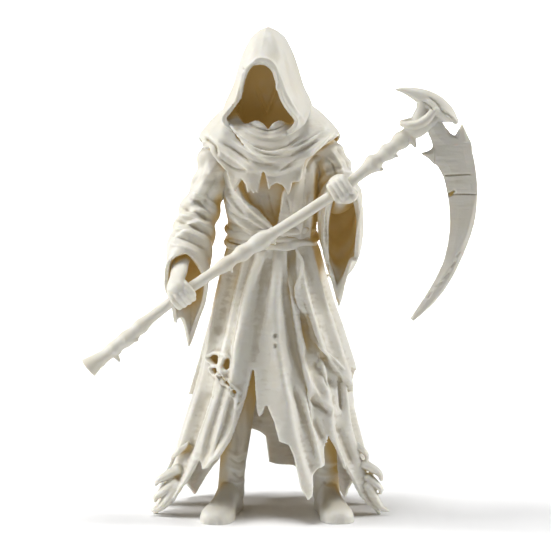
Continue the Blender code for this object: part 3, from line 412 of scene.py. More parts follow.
def makeMantle():
    columns, rows = fineCount(560), fineCount(110)
    angle = angles(columns)
    top = readTable(mantle["cowlTop"], angle)[0]
    lowest = min(height for _, height in mantle["hem"])
    height = top + (lowest - top) * np.linspace(0, 1, rows)[:, None]
    height = np.maximum(height, raggedEdge(mantle["hem"], angle))
    return openShell(mantleSurface(angle, height), mantleSurface(angle, height, mantle["wall"]))


def makeShoulders():
    return limb([(-17.0, 1.2, 111.6, 5.4), (-9.0, 0.8, 111.6, 6.6), (-2.0, 0.6, 111.0, 7.4), (6.0, 0.8, 111.6, 6.6),
                 (13.4, 1.2, 111.6, 5.4)], 32, 28)


# The hood, turned a little to the figure's right

hood = {
    "turn": -12,
    "innerShare": 0.42,  # how far back the hollow goes
    "middle": (-2.6, 0.8),
    "wall": 1.5,
    "base": 117.4,
    # Half of an upright outline: how far from its middle, and its height
    "outline": [
        (0, 149.6), (2.6, 148.4), (5, 146.2), (7.3, 141.6), (8.9, 136.6), (10.3, 132), (12.1, 128.2),
        (13.2, 124.6), (12.4, 121), (9, 118.4), (0, 117.4),
    ],
    "mouth": [
        (0, 140.8), (2.6, 140.3), (4.9, 138.2), (5.9, 135.6), (6.7, 132.4), (7.6, 129.2), (9.4, 126.4), (11.8, 123.4),
        (11.2, 121), (8.6, 118.6), (5, 117.2), (0, 116.8),
    ],
    # From the nape to the brow: depth, and the width and height there as shares of the outline
    "depths": [
        (13.6, 0.16, 0.3), (13.2, 0.44, 0.44), (12, 0.66, 0.6), (9.6, 0.84, 0.78), (6, 0.96, 0.92),
        (1.4, 1, 1), (-4.6, 0.99, 1),
    ],
}


def uprightRing(outline, depth, columns):
    outline = smoothPath(outline, 120)
    whole = np.vstack([outline, outline[-2:0:-1] * (-1, 1)])
    walked = np.concatenate([[0], np.cumsum(np.linalg.norm(np.diff(np.vstack([whole, whole[:1]]), axis=0), axis=1))])
    even = np.linspace(0, walked[-1], columns, endpoint=False)
    ring = np.stack([np.interp(even, walked, np.append(whole[:, k], whole[0, k])) for k in (0, 1)], axis=1)
    return np.stack([ring[:, 0], np.full(columns, float(depth)), ring[:, 1]], axis=1)


def makeHood():
    columns, rows = fineCount(260), fineCount(120)
    keys = []
    for depth, wide, tall in hood["depths"]:
        ring = uprightRing(hood["outline"], depth, columns)
        ring[:, 0] *= wide
        ring[:, 2] = hood["base"] + (ring[:, 2] - hood["base"]) * tall
        keys.append(ring)
    brow = 0.5 * uprightRing(hood["outline"], -9.6, columns) + 0.5 * uprightRing(hood["mouth"], -9.6, columns)
    rim = uprightRing(hood["mouth"], -13.6, columns)
    rim[:, 1] += np.interp(rim[:, 2], (117, 124, 142), (3.4, 1.0, 0.0))
    rings = smoothPath(np.array(keys + [brow, rim]).reshape(len(keys) + 2, -1), rows).reshape(rows, columns, 3)
    turn = math.radians(hood["turn"])
    turned = rings.copy()
    turned[..., 0] = rings[..., 0] * math.cos(turn) - rings[..., 1] * math.sin(turn) + hood["middle"][0]
    turned[..., 1] = rings[..., 0] * math.sin(turn) + rings[..., 1] * math.cos(turn) + hood["middle"][1]
    return openBag(turned, hood["wall"], int(rows * hood["innerShare"]))


# The sleeves, each a loft from the shoulder to a long torn mouth: rings of x, y, z, half width, half depth, tilt

sleeves = {
    "wall": 1.3,
    "innerShares": (0.44, 0.5),  # how far up the right and the left sleeve are hollow
    "right": [
        (-15.6, 1, 117, 3.6, 4, 0), (-17.8, 1.2, 111.8, 5.8, 6.2, 4), (-19.6, 1.6, 103.4, 5.9, 6.8, 6),
        (-23.4, 1.4, 94, 6.3, 7.6, 16), (-25.6, -1.4, 86.4, 6.6, 8.6, 34), (-27, -4.6, 79.6, 6.8, 11.4, 52),
    ],
    "rightMouth": [
        (-28, -14.8, 82.6), (-24.4, -13.4, 80), (-21.2, -9, 73), (-21.6, -6, 66.6), (-23.8, -4.4, 60),
        (-26.9, -3.6, 51.6), (-28.6, -4, 57.8), (-29.8, -4.4, 60.6), (-31.4, -5, 59.4), (-32.4, -6.6, 65),
        (-34.4, -9.6, 71.6), (-33.4, -13.2, 79.4),
    ],
    "left": [
        (12.2, 1, 117, 3.6, 4, 0), (14.8, 1.2, 111.8, 5.8, 6.2, 8), (17.2, 1.6, 105.4, 6, 7, 20),
        (19, 0.4, 99, 6.4, 9, 42), (19.2, -3.4, 92.8, 6.8, 12.4, 64), (19.6, -7.2, 88.8, 6.4, 15, 78),
    ],
    "leftMouth": [
        (20.6, -13.4, 103), (24.4, -12.6, 101), (25.9, -11.2, 95.4), (25.4, -10.2, 88.6), (24.8, -9.6, 82),
        (24.4, -9.4, 78.8), (22.9, -8.8, 79.4), (21.9, -8.4, 76), (20.9, -7.8, 71.4), (19, -7, 64.8),
        (17.4, -7.2, 69.2), (16, -7.4, 74.6), (15.2, -7.6, 73.6), (14.6, -8, 79.4), (14, -9.6, 88),
        (15.4, -12.4, 98.4),
    ],
}


def roundRing(x, y, z, across, along, tilt, columns=12):  # the first point is at the arm's front
    turn = np.linspace(0, 2 * math.pi, columns, endpoint=False)
    lean = math.radians(tilt)
    front = -np.cos(turn) * along
    return np.stack([x + np.sin(turn) * across, y + front * math.cos(lean), z - front * math.sin(lean)], axis=1)


def makeSleeve(rings, mouth, innerShare):
    columns, rows = fineCount(220), fineCount(130)
    keys = [smoothPath(ring, columns, closed=True) for ring in [roundRing(*ring) for ring in rings] + [mouth]]
    outer = smoothPath(np.array(keys).reshape(len(keys), -1), rows).reshape(rows, columns, 3)
    down = np.linspace(0, 1, rows)[:, None]
    turn = np.linspace(0, 2 * math.pi, columns, endpoint=False)[None, :]
    creases = 0.45 * np.sin(down * 46 + 2.2 * np.sin(turn + 0.6)) * np.sin(math.pi * down) ** 0.5
    outer = outer + gridNormals(outer) * creases[..., None]
    return openBag(outer, sleeves["wall"], int(rows * innerShare))


# The hands, closed round the shaft: the back of each slopes down to its knuckles in front

hands = {
    "shaftSlope": (0.84, 0.0, 0.55),
    "shaftRadius": 1.65,
    "fingerRadius": 0.95,
    # A finger's joints: turn round the shaft from straight up over the front, extra reach, and thickness
    "lowCurl": [(46, 0.7, 1), (86, 0.9, 1.15), (130, 0.4, 1), (176, 0.7, 1.05), (215, 0.3, 0.95), (250, 0, 0.8)],
    "highCurl": [(-10, 0.3, 1), (26, 0.7, 1.12), (74, 0.3, 1), (120, 0.8, 1.1), (178, 0.4, 1), (226, 0.1, 0.85)],
    "rightBack": [(74, 0.2, 2.8), (30, 1.2, 3.1), (-29.9, -14.8, 76, 3.2), (-29.2, -10.6, 79, 3.3), (-26.6, -3, 84, 4)],
    "rightForefinger": [(4, 1.1, 2.6, 1), (60, 0.8, 3.3, 0.95), (112, 0.4, 3.6, 0.86), (150, 0.2, 3.4, 0.74)],
    "rightCentre": (-29.2, -18.4, 70.6),
    "leftBack": [(4, 0.5, 2.6), (-40, 1.1, 2.7), (20.2, -13, 101.4, 2.8), (20, -8, 98.6, 3.1), (19.6, -1, 95, 4)],
    "leftHeel": [(150, 0.8, -1.5, 1.1), (160, 1.2, 0, 1.6), (150, 1.4, 1.6, 1.7), (195, 1.4, 2.2, 1.4)],
    "leftCentre": (19.4, -19.4, 103.1),
    "fingerShares": (0.94, 1.04, 1.06, 1.0),
}


def makeFist(centre, curl, back, heel):
    slope = np.array(hands["shaftSlope"])
    slope /= np.linalg.norm(slope)
    front = np.array((0.0, -1.0, 0.0))
    up = np.cross(front, slope)
    up *= np.sign(up[2])
    finger = hands["fingerRadius"]
    hold = hands["shaftRadius"] + 0.75 * finger

    def spot(angle, out, shift):
        turn = math.radians(angle)
        return np.array(centre) + slope * shift + (math.cos(turn) * up + math.sin(turn) * front) * out

    forms = []
    for number, size in enumerate(hands["fingerShares"]):
        shift = (number - 1.5) * 1.72 * finger
        joints = [(*spot(turn, hold + out * size, shift), finger * size * thick) for turn, out, thick in curl]
        forms.append(limb(joints, 40, 24))
    forms.append(limb([(*spot(turn, hold + out, shift), size) for turn, out, shift, size in heel], 24, 24))
    root = [(*spot(turn, hold + out, 0.0), size) for turn, out, size in back[:2]]
    forms.append(limb(root + back[2:], 32, 32, 0.55, side=np.cross(slope, (0.0, -1.0, 0.4))))
    return forms


# The legs and the shoes

feet = {
    "legs": [
        [(-8, 1, 78, 6), (-10, -1, 50, 5.6), (-11.6, -1.6, 34, 5), (-13, 0.2, 20, 4.3),
         (-13.8, 0.4, 12, 3.9), (-14.2, 0.2, 5, 4.2)],
        [(5, 1, 78, 6), (9, -1, 50, 5.6), (12, -1.6, 34, 5), (14, 0.2, 20, 4.3),
         (14.8, 0.4, 12, 3.9), (15.2, 0.2, 5, 4.2)],
    ],
    # Share of the foot's length from heel to toe, its half width and its height above the sole
    "profile": [
        (0, 1.6, 3), (0.05, 3.2, 5.4), (0.18, 3.9, 8), (0.34, 3.8, 8.6), (0.48, 3.9, 6.9), (0.62, 4.6, 5.2),
        (0.78, 5.1, 4.3), (0.9, 4.6, 3.6), (0.97, 3.2, 2.8), (1, 1.4, 1.6),
    ],
    "places": [(-13.2, 5.6, -19.6, -22.6), (14.4, 5.6, 19.4, -21.6)],  # heel x and y, toe x and y
    "soleBelow": 0.6,
}


def makeShoe(heelX, heelY, toeX, toeY):
    length = math.hypot(toeX - heelX, toeY - heelY)
    forward = np.array(((toeX - heelX) / length, (toeY - heelY) / length, 0.0))
    aside = np.array((-forward[1], forward[0], 0.0))
    turn = np.linspace(0, 2 * math.pi, 48, endpoint=False)
    side, rise = np.cos(turn), np.sin(turn)
    rings = []
    for along, width, height in smoothPath(feet["profile"], 60):
        middle = np.array((heelX, heelY, 0.0)) + forward * length * along
        sole = -feet["soleBelow"] * np.clip(-rise * 3, 0, 1)
        lift = np.where(rise > 0, height * np.maximum(rise, 0) ** 0.8 + 0.6, sole)
        across = width * np.sign(side) * np.abs(side) ** 0.75
        rings.append(middle + across[:, None] * aside + lift[:, None] * np.array((0.0, 0.0, 1.0)))
    return loft(rings)


# The scythe

scythe = {
    "shaft": [
        (-57.4, -17, 47.6, 1.92), (-55.8, -17, 48.9, 1.62), (-53.6, -17, 50.5, 1.32), (-51.6, -17.2, 52, 1.2),
        (-49.6, -17.3, 53.6, 1.42), (-48, -17.4, 55, 1.25), (-45.6, -17.6, 56.9, 1.5), (-43.3, -17.8, 58.9, 1.22),
        (-41.2, -18, 60.8, 1.42), (-38.7, -18, 63, 1.06), (-34.1, -18.2, 66.7, 1), (-28.9, -18.4, 70.8, 1),
        (-23.4, -18.8, 74.6, 1), (-18.8, -19, 77.8, 1.05), (-15.6, -19.2, 80, 1.38), (-13, -19.3, 81.8, 1.1),
        (-10.6, -19.4, 83.4, 1.55), (-8.2, -19.4, 85, 1.3), (-5.8, -19.5, 86.6, 1.62), (-3.4, -19.6, 88.2, 1.5),
        (-1.4, -19.6, 89.4, 1.1), (1.1, -19.6, 91, 1.03), (7.2, -19.6, 94.9, 1.03), (13.3, -19.6, 99, 1.03),
        (20.3, -19.4, 103.6, 1), (24, -19.2, 106.7, 1.03), (27, -19, 109.2, 1.25), (29.2, -19, 111, 1.8),
        (31.1, -19, 112.6, 1.15), (33.3, -19, 114.4, 1.66), (35.2, -19, 116, 1.22), (37.4, -19, 117.9, 1.72),
        (39.4, -19, 119.7, 1.35), (41.6, -19, 121.4, 1.8), (44, -19, 122.8, 1.7), (46.4, -19, 123.8, 1.2),
    ],
    # Knots and thorns on the shaft: root, tip and root radius
    "thorns": [
        ((-50, -17.6, 53.2), (-47.9, -18, 50), 1.35), ((-45.8, -18.6, 56.6), (-42.4, -18.8, 56.6), 1.6),
        ((-14.6, -19.2, 80.4), (-13.6, -19.8, 77.8), 1.1), ((-3, -19.8, 88.4), (-0.6, -20.4, 86.6), 1.4),
        ((28.4, -19.4, 110), (31.6, -19.8, 109.2), 2), ((33.6, -19.4, 114), (36.2, -19.8, 113.2), 1.6),
        ((40, -19.6, 119.6), (41.6, -20.2, 116.4), 1.8),
    ],
    # A beaked ridge, the web under it, and a flange that curls up into a hood over the blade's root
    "head": [
        [(35.7, -19, 133.4, 0.3), (38.2, -19, 133.2, 1), (41.4, -19, 132.2, 1.9), (45, -19, 130.6, 2.7),
         (48.6, -19, 128.2, 3), (51.6, -19, 125.9, 2.3), (54, -19, 123.9, 0.9)],
        [(44.2, -19, 130.6, 2.4), (44, -19, 127.6, 2.1), (43, -19, 124.6, 2.5)],
        [(47.2, -18.6, 128.6, 2.6), (46.2, -18.6, 126.2, 2.4), (45.4, -18.6, 123.8, 2.4)],
        [(45.4, -18.2, 124, 2.6), (49, -18, 125.2, 2.2), (52, -18.2, 124.6, 1.3)],
        [(37.8, -20, 123.1, 1), (40, -20.9, 122.8, 1.4), (42.8, -21.4, 123.3, 1.4), (45.2, -21.5, 124.9, 1.3),
         (47.4, -21.3, 127.4, 1.2), (49.2, -21.2, 127.8, 1.1), (51.6, -20.9, 125.8, 1.1), (53.8, -20.3, 123.8, 0.9)],
        [(37.8, -18, 123.2, 1), (40.6, -17.2, 123.2, 1.5), (44.6, -16.8, 124.6, 1.6), (48.6, -16.8, 126.6, 1.6),
         (52.6, -17.6, 124.6, 1.1)],
    ],
    # Along the blade: its inner edge x and height, and its outer edge x and height
    "blade": [
        (44.8, 122.8, 49.4, 124.2), (45.4, 120.6, 51.2, 121.6), (46.4, 118.2, 53.2, 119.6), (46.9, 116.2, 57.9, 118.2),
        (46, 114.4, 59, 114), (45.8, 112.6, 59.7, 110.6), (48.4, 110, 60.2, 106.8), (50.2, 106.6, 60.5, 103.4),
        (51.3, 102.4, 60.5, 99.8), (52.1, 96.6, 60.1, 95), (52.2, 91.6, 59.2, 90.8), (51.6, 86, 57.6, 86),
        (50.2, 80.6, 55.2, 80.2), (48.1, 75.8, 52.2, 74.4), (45.5, 71.2, 48.8, 69.6), (42.8, 67, 45.2, 65.8),
        (40.4, 63.2, 41.4, 62.6),
    ],
    "spurs": [
        [(53, 117.6, 58.2, 117.6), (53.5, 119.2, 57.5, 119.2), (54.6, 120.9, 56.8, 120.9), (55.6, 122.8, 56, 122.8)],
        [(47.4, 116.2, 47.4, 110.6), (46, 114.9, 46, 112), (44.8, 114.4, 44.8, 113), (43.6, 114.2, 43.6, 113.8)],
    ],
    "bladeDepth": -19.0,
    "bladeThickness": 2.0,
    "bladeEdge": 0.8,
}


def makePlate(stations, steps):  # thick along its middle and thin at both edges
    half, edge = scythe["bladeThickness"] / 2, scythe["bladeEdge"] / 2
    section = ((0, edge), (0.35, half), (0.8, half), (1, edge), (1, -edge), (0.8, -half), (0.35, -half), (0, -edge))
    rings = []
    for innerX, innerZ, outerX, outerZ in smoothPath(stations, steps):
        inner, outer = np.array((innerX, innerZ)), np.array((outerX, outerZ))
        spots = [(inner + (outer - inner) * part, thick) for part, thick in section]
        rings.append([(x, scythe["bladeDepth"] + thick, z) for (x, z), thick in spots])
    return loft(rings)


def makeShaft():
    radius = hands["shaftRadius"]
    forms = [limb([(x, y, z, swell * radius) for x, y, z, swell in scythe["shaft"]], 320, 32, cutStart=True)]
    forms += [limb([(*root, size), (*((np.array(root) + tip) / 2), size * 0.7), (*tip, size * 0.3)], 16, 20)
              for root, tip, size in scythe["thorns"]]
    forms += [limb(line, 10 * len(line), 24) for line in scythe["head"]]
    return forms


def makeBlade():
    return [makePlate(scythe["blade"], 160)] + [makePlate(spur, 20) for spur in scythe["spurs"]]


# Node trees: sums on sockets read as plain expressions


class Wire:  # an output that takes part in sums, each of which adds a Math node
    def __init__(self, sheet, socket):
        self.sheet, self.socket = sheet, socket

    def math(self, operation, *others):
        return self.sheet.node("ShaderNodeMath", {"operation": operation}, dict(enumerate(others)))

    def __add__(self, other):
        return self.math("ADD", self, other)

    def __sub__(self, other):
        return self.math("SUBTRACT", self, other)

    def __mul__(self, other):
        return self.math("MULTIPLY", self, other)

    def __truediv__(self, other):
        return self.math("DIVIDE", self, other)

    def __rsub__(self, other):
        return self.math("SUBTRACT", other, self)

    def __rtruediv__(self, other):
        return self.math("DIVIDE", other, self)

    __radd__ = __add__
    __rmul__ = __mul__


class Sheet:  # a node tree in the making
    def __init__(self, tree):
        self.tree = tree

    def node(self, kind, settings=None, values=None, output=0):
        made = self.tree.nodes.new(kind)
        for name, value in (settings or {}).items():
            setattr(made, name, value)
        for name, value in (values or {}).items():
            if isinstance(value, Wire):
                self.tree.links.new(value.socket, made.inputs[name])
            else:
                made.inputs[name].default_value = value
        return Wire(self, made.outputs[output])

    def scaled(self, vector, factor):
        return self.node("ShaderNodeVectorMath", {"operation": "SCALE"}, {0: vector, "Scale": factor})

    def randomVector(self, low, high, seed):
        return self.node("FunctionNodeRandomValue", {"data_type": "FLOAT_VECTOR"}, {0: low, 1: high, "Seed": seed})

    def attribute(self, name):
        return self.node("ShaderNodeAttribute", {"attribute_name": name}, output=2)


# Node trees for what follows a path: the sash's twisted rolls, and the knots on the shaft


def newTree(name, sizes):
    tree = bpy.data.node_groups.new(name, "GeometryNodeTree")
    face = tree.interface
    face.new_socket("Geometry", in_out="INPUT", socket_type="NodeSocketGeometry")
    for size in sizes:
        face.new_socket(size, in_out="INPUT", socket_type="NodeSocketFloat")
    face.new_socket("Material", in_out="INPUT", socket_type="NodeSocketMaterial")
    face.new_socket("Geometry", in_out="OUTPUT", socket_type="NodeSocketGeometry")
    sheet = Sheet(tree)
    entry = tree.nodes.new("NodeGroupInput")
    return tree, sheet, {socket.name: Wire(sheet, socket) for socket in entry.outputs if socket.name}


def endTree(sheet, shape, material):
    real = sheet.node("GeometryNodeRealizeInstances", None, {"Geometry": shape})
    done = sheet.node("GeometryNodeSetMaterial", None, {"Geometry": real, "Material": material})
    leave = sheet.tree.nodes.new("NodeGroupOutput")
    sheet.tree.links.new(done.socket, leave.inputs[0])


def setInputs(modifier, values):  # a tree's inputs are set by their sockets' identifiers
    for item in modifier.node_group.interface.items_tree:
        if item.in_out == "INPUT" and item.name in values:
            modifier[item.identifier] = values[item.name]


def twistTree():  # a lobed section swept along a closed line, turning as it goes
    tree, sheet, given = newTree("twistedRoll", ("Radius", "Turns", "Lobes", "Groove"))
    along = sheet.node("GeometryNodeSplineParameter")
    tilt = along * given["Turns"] * (2 * math.pi)
    line = sheet.node("GeometryNodeSetCurveTilt", None, {"Curve": given["Geometry"], "Tilt": tilt})
    circle = sheet.node("GeometryNodeCurvePrimitiveCircle", None, {"Resolution": 36, "Radius": 1.0})
    turned = sheet.node("GeometryNodeSplineParameter") * given["Lobes"] * (2 * math.pi)
    lobe = sheet.node("ShaderNodeMath", {"operation": "COSINE"}, {0: turned})
    reach = given["Radius"] * (1 - given["Groove"] * (1 - lobe) * 0.5)
    spot = sheet.scaled(sheet.node("GeometryNodeInputPosition"), reach)
    section = sheet.node("GeometryNodeSetPosition", None, {"Geometry": circle, "Position": spot})
    swept = sheet.node("GeometryNodeCurveToMesh", None, {"Curve": line, "Profile Curve": section})
    endTree(sheet, swept, given["Material"])
    return tree


def knotTree():  # lumps set at random round a line, half sunk in it
    tree, sheet, given = newTree("shaftKnots", ("Spacing", "Size", "Stand Out", "Seed"))
    line = sheet.node("GeometryNodeResampleCurve", {"mode": "LENGTH"},
                      {"Curve": given["Geometry"], "Length": given["Spacing"]})
    points = sheet.node("GeometryNodeCurveToPoints", {"mode": "EVALUATED"}, {"Curve": line})
    aside = sheet.randomVector((-1.0, -1.0, -1.0), (1.0, 1.0, 1.0), given["Seed"])
    way = sheet.node("ShaderNodeVectorMath", {"operation": "NORMALIZE"}, {0: aside})
    step = sheet.scaled(way, given["Stand Out"])
    moved = sheet.node("GeometryNodeSetPosition", None, {"Geometry": points, "Offset": step})
    lump = sheet.node("GeometryNodeMeshIcoSphere", None, {"Radius": 1.0, "Subdivisions": 3})
    sized = sheet.scaled(sheet.randomVector((0.7, 0.5, 0.5), (1.5, 1.0, 1.0), given["Seed"] + 3), given["Size"])
    spin = sheet.randomVector((0.0, 0.0, 0.0), (6.2, 6.2, 6.2), given["Seed"] + 5)
    lumps = sheet.node("GeometryNodeInstanceOnPoints", None,
                      {"Points": moved, "Instance": lump, "Rotation": spin, "Scale": sized})
    endTree(sheet, lumps, given["Material"])
    return tree


def alongLine(tree, points, closed, values):  # the mesh that a tree makes along a line of points, as a form
    curve = bpy.data.curves.new("line", "CURVE")
    curve.dimensions = "3D"
    spline = curve.splines.new("POLY")
    spline.points.add(len(points) - 1)
    spline.points.foreach_set("co", np.column_stack([points, np.ones(len(points))]).ravel())
    spline.use_cyclic_u = closed
    guide = placed("line", curve)
    modifier = guide.modifiers.new("form", "NODES")
    modifier.node_group = tree
    setInputs(modifier, values)
    bpy.context.view_layer.update()
    mesh = bpy.data.meshes.new_from_object(guide.evaluated_get(bpy.context.evaluated_depsgraph_get()))
    form = pointsOf(mesh), [list(face.vertices) for face in mesh.polygons]
    bpy.data.objects.remove(guide)
    bpy.data.meshes.remove(mesh)
    return form


sash = {
    # Height, lean, phase, thickness and twists of each roll round the waist
    "rolls": ((87.9, 0.5, 40, 1.4, 2), (85.7, 1.0, 150, 1.5, -2), (83.6, 0.8, 10, 1.35, 3), (85.6, -2.0, 60, 1.15, 2)),
    "lobes": 2.0,
    "groove": 0.34,
}


def makeSash(tree, material):
    forms = []
    for height, lean, phase, radius, twists in sash["rolls"]:
        angle = np.linspace(-180, 180, 240, endpoint=False)
        level = height + lean * np.sin(np.radians(angle * 2 + phase))
        middle = robeSurface(angle, level, 0.2 + 0.4 * np.sin(np.radians(angle * 3 + phase)))
        forms.append(alongLine(tree, middle, True, {"Radius": radius, "Turns": float(twists), "Lobes": sash["lobes"],
                                                    "Groove": sash["groove"], "Material": material}))
    return forms


knots = {
    "stretches": ((-56.0, -41.5), (-17.5, -1.5), (26.5, 45.0)),  # x where the shaft is gnarled, from and to
    "spacing": 1.15,
    "size": 1.25,
    "standOut": 1.35,
}


def makeKnots(tree, material):
    line = smoothPath(scythe["shaft"], 400)
    forms = []
    for start, end in knots["stretches"]:
        part = line[(line[:, 0] > start) & (line[:, 0] < end), :3]
        forms.append(alongLine(tree, part, False, {"Spacing": knots["spacing"], "Size": knots["size"],
                                                   "Stand Out": knots["standOut"], "Seed": float(casting["seed"]),
                                                   "Material": material}))
    return forms


# The resin: ivory and waxy, with painted golden shade in deep hollows, painted shade in creases and folds, painted
# highlights on ridges and a painted glow in the deepest hollows

resin = {
    "ivory": (0.70, 0.68, 0.61, 1.0),
    # The pale tint is a painted highlight for the ridges
    "paintedHighlight": (0.86, 0.85, 0.79, 1.0),
    "warm": (0.62, 0.56, 0.43, 1.0),
    # The shade tint is painted shade for the creases and folds
    "shade": (0.37, 0.31, 0.20, 1.0),
    # The gold tint is a painted golden shade for the deep hollows
    "paintedGoldenShade": (0.54, 0.38, 0.14, 1.0),
    "paintedGlow": (0.58, 0.40, 0.11, 1.0),  # painted glow: emission in the deepest hollows, standing in for light through the walls
    "paintedGlowPower": 0.09,
    # Where each tint starts and is full, and its greatest share: the mottle is a random tone, the ridges get a painted
    # highlight, the creases and folds painted shade and the hollows a painted golden shade
    "mottled": (0.38, 0.68, 0.35),
    "ridges": (-0.1, -1.0, 0.55),
    "creases": (0.12, 1.0, 0.55),
    "folds": (0.16, 0.75, 0.82),
    "hollows": (0.4, 0.82, 0.92),
    "roughness": 0.46,
    "glow": 0.25,
    "glowDepth": 0.0016,
    "glowRadius": (1.0, 0.78, 0.34),
    "mottleScale": 90.0,
    "grainScale": 3200.0,
    "grainHeight": 0.00004,
}


def smoothStep(sheet, value, low, high):
    return sheet.node("ShaderNodeMapRange", {"interpolation_type": "SMOOTHSTEP"},
                      {"Value": value, "From Min": low, "From Max": high})


def mixColour(sheet, factor, first, second):
    return sheet.node("ShaderNodeMix", {"data_type": "RGBA"}, {0: factor, 6: first, 7: second}, 2)


def makeResin():
    material = bpy.data.materials.new("ivoryResin")
    material.use_nodes = True
    sheet = Sheet(material.node_tree)
    shader = material.node_tree.nodes["Principled BSDF"]
    place = sheet.node("ShaderNodeTexCoord", output=3)
    mottle = sheet.node("ShaderNodeTexNoise", None, {"Vector": place, "Scale": resin["mottleScale"], "Detail": 4.0})
    grain = sheet.node("ShaderNodeTexNoise", None, {"Vector": place, "Scale": resin["grainScale"], "Detail": 3.0})
    crease = sheet.attribute("crease")
    body = resin["ivory"]
    # The crease measure paints a highlight on ridges and shade in creases, and the fold measure paints shade in fold
    # valleys
    for value, (low, high, most), tint in ((mottle, resin["mottled"], "warm"), (crease, resin["ridges"], "paintedHighlight"),
                                           (crease, resin["creases"], "shade"),
                                           (sheet.attribute("fold"), resin["folds"], "shade")):
        body = mixColour(sheet, smoothStep(sheet, value, low, high) * most, body, resin[tint])
    # Painted golden shade in the hollows, where enclosed spots would fall into shade
    low, high, most = resin["hollows"]
    deep = smoothStep(sheet, sheet.attribute("hollow"), low, high)
    colour = mixColour(sheet, deep * most, body, resin["paintedGoldenShade"])
    # A painted glow: emission in the deepest hollows
    paintedGlow = mixColour(sheet, deep, (0.0, 0.0, 0.0, 1.0), resin["paintedGlow"])
    rough = mottle * 0.14 + grain * 0.08 + (resin["roughness"] - 0.11)
    bump = sheet.node("ShaderNodeBump", None, {"Strength": 0.5, "Distance": resin["grainHeight"], "Height": grain})
    for name, wire in (("Base Color", colour), ("Roughness", rough), ("Normal", bump), ("Emission Color", paintedGlow)):
        material.node_tree.links.new(wire.socket, shader.inputs[name])
    for name, value in (("Subsurface Weight", resin["glow"]), ("Subsurface Radius", resin["glowRadius"]),
                        ("Subsurface Scale", resin["glowDepth"]), ("Emission Strength", resin["paintedGlowPower"]),
                        ("IOR", 1.46)):
        shader.inputs[name].default_value = value
    return material


# Surface relief: striations that run across the folds, soft wrinkles and the casting's own grain


def reliefTree():
    tree, sheet, given = newTree("castRelief", (
        "Striation Depth", "Striation Spacing", "Striation Length", "Wrinkle Depth", "Wrinkle Width", "Wrinkle Length",
        "Grain Depth", "Grain Size", "Patchiness", "Seed"))
    place = sheet.node("GeometryNodeInputPosition")
    normal = sheet.node("GeometryNodeInputNormal")

    def noise(across, up, detail, shift):
        stretch = sheet.node("ShaderNodeCombineXYZ", None, {0: 1 / across, 1: 1 / across, 2: 1 / up})
        spot = sheet.node("ShaderNodeVectorMath", {"operation": "MULTIPLY"}, {0: place, 1: stretch})
        return sheet.node("ShaderNodeTexNoise", {"noise_dimensions": "4D"},
                          {"Vector": spot, "W": given["Seed"] + shift, "Scale": 1.0, "Detail": detail}) * 2 - 1

    striations = noise(given["Striation Length"], given["Striation Spacing"], 1.0, 0.0)
    wrinkles = noise(given["Wrinkle Width"], given["Wrinkle Length"], 2.0, 11.0)
    grain = noise(given["Grain Size"], given["Grain Size"], 2.0, 23.0)
    patches = noise(given["Wrinkle Width"] * 2.2, given["Wrinkle Width"] * 3.0, 1.0, 37.0)
    patch = sheet.node("ShaderNodeMapRange", None, {"Value": patches, "From Min": -0.25, "From Max": 0.2})
    worn = 1 - given["Patchiness"] * (1 - patch)
    lift = striations * given["Striation Depth"] * worn + wrinkles * given["Wrinkle Depth"]
    offset = sheet.scaled(normal, lift + grain * given["Grain Depth"])
    moved = sheet.node("GeometryNodeSetPosition", None, {"Geometry": given["Geometry"], "Offset": offset})
    endTree(sheet, moved, given["Material"])
    return tree


# The studio

studio = {
    "elevation": 10.0,
    "lens": 400.0,
    "sensor": 36.0,
    "photoWidth": 551,  # pixels
    "sharesPerPixel": 0.306,
    "figureColumn": 276.5,  # the photograph's column of x = 0, and its row of the ground under the toes
    "groundRow": 523.0,
    "toeDepth": -22.0,
    "room": 0.08,
    # Name, place, aim, size, power and beam of each soft lamp, in metres, watts and degrees
    "lamps": [
        ("topLight", (-0.12, -0.06, 0.9), (0, 0, 0.075), 0.3, 5.0, 180),
        ("rightLight", (0.75, 0.08, 0.30), (0, 0, 0.075), 0.4, 4.3, 180),
        ("leftLight", (-0.75, 0.06, 0.35), (0, 0, 0.075), 0.4, 5.0, 180),
        ("frontLight", (-0.45, -0.7, 0.55), (0, 0, 0.075), 0.25, 0.6, 180),
        ("floorLight", (0.0, 0.85, 0.8), (0.0, 0.82, 0.0), 0.6, 6.0, 84),
    ],
}


# Strokes: ridges and grooves drawn over the forms, in the photograph's own pixels


def photoSpots(points):  # where points, in shares before the shift, fall in the photograph
    lean = math.radians(studio["elevation"])
    column = studio["figureColumn"] + points[:, 0] / studio["sharesPerPixel"]
    rise = points[:, 2] * math.cos(lean) + (points[:, 1] - studio["toeDepth"]) * math.sin(lean)
    return np.stack([column, studio["groundRow"] - rise / studio["sharesPerPixel"]], axis=1)


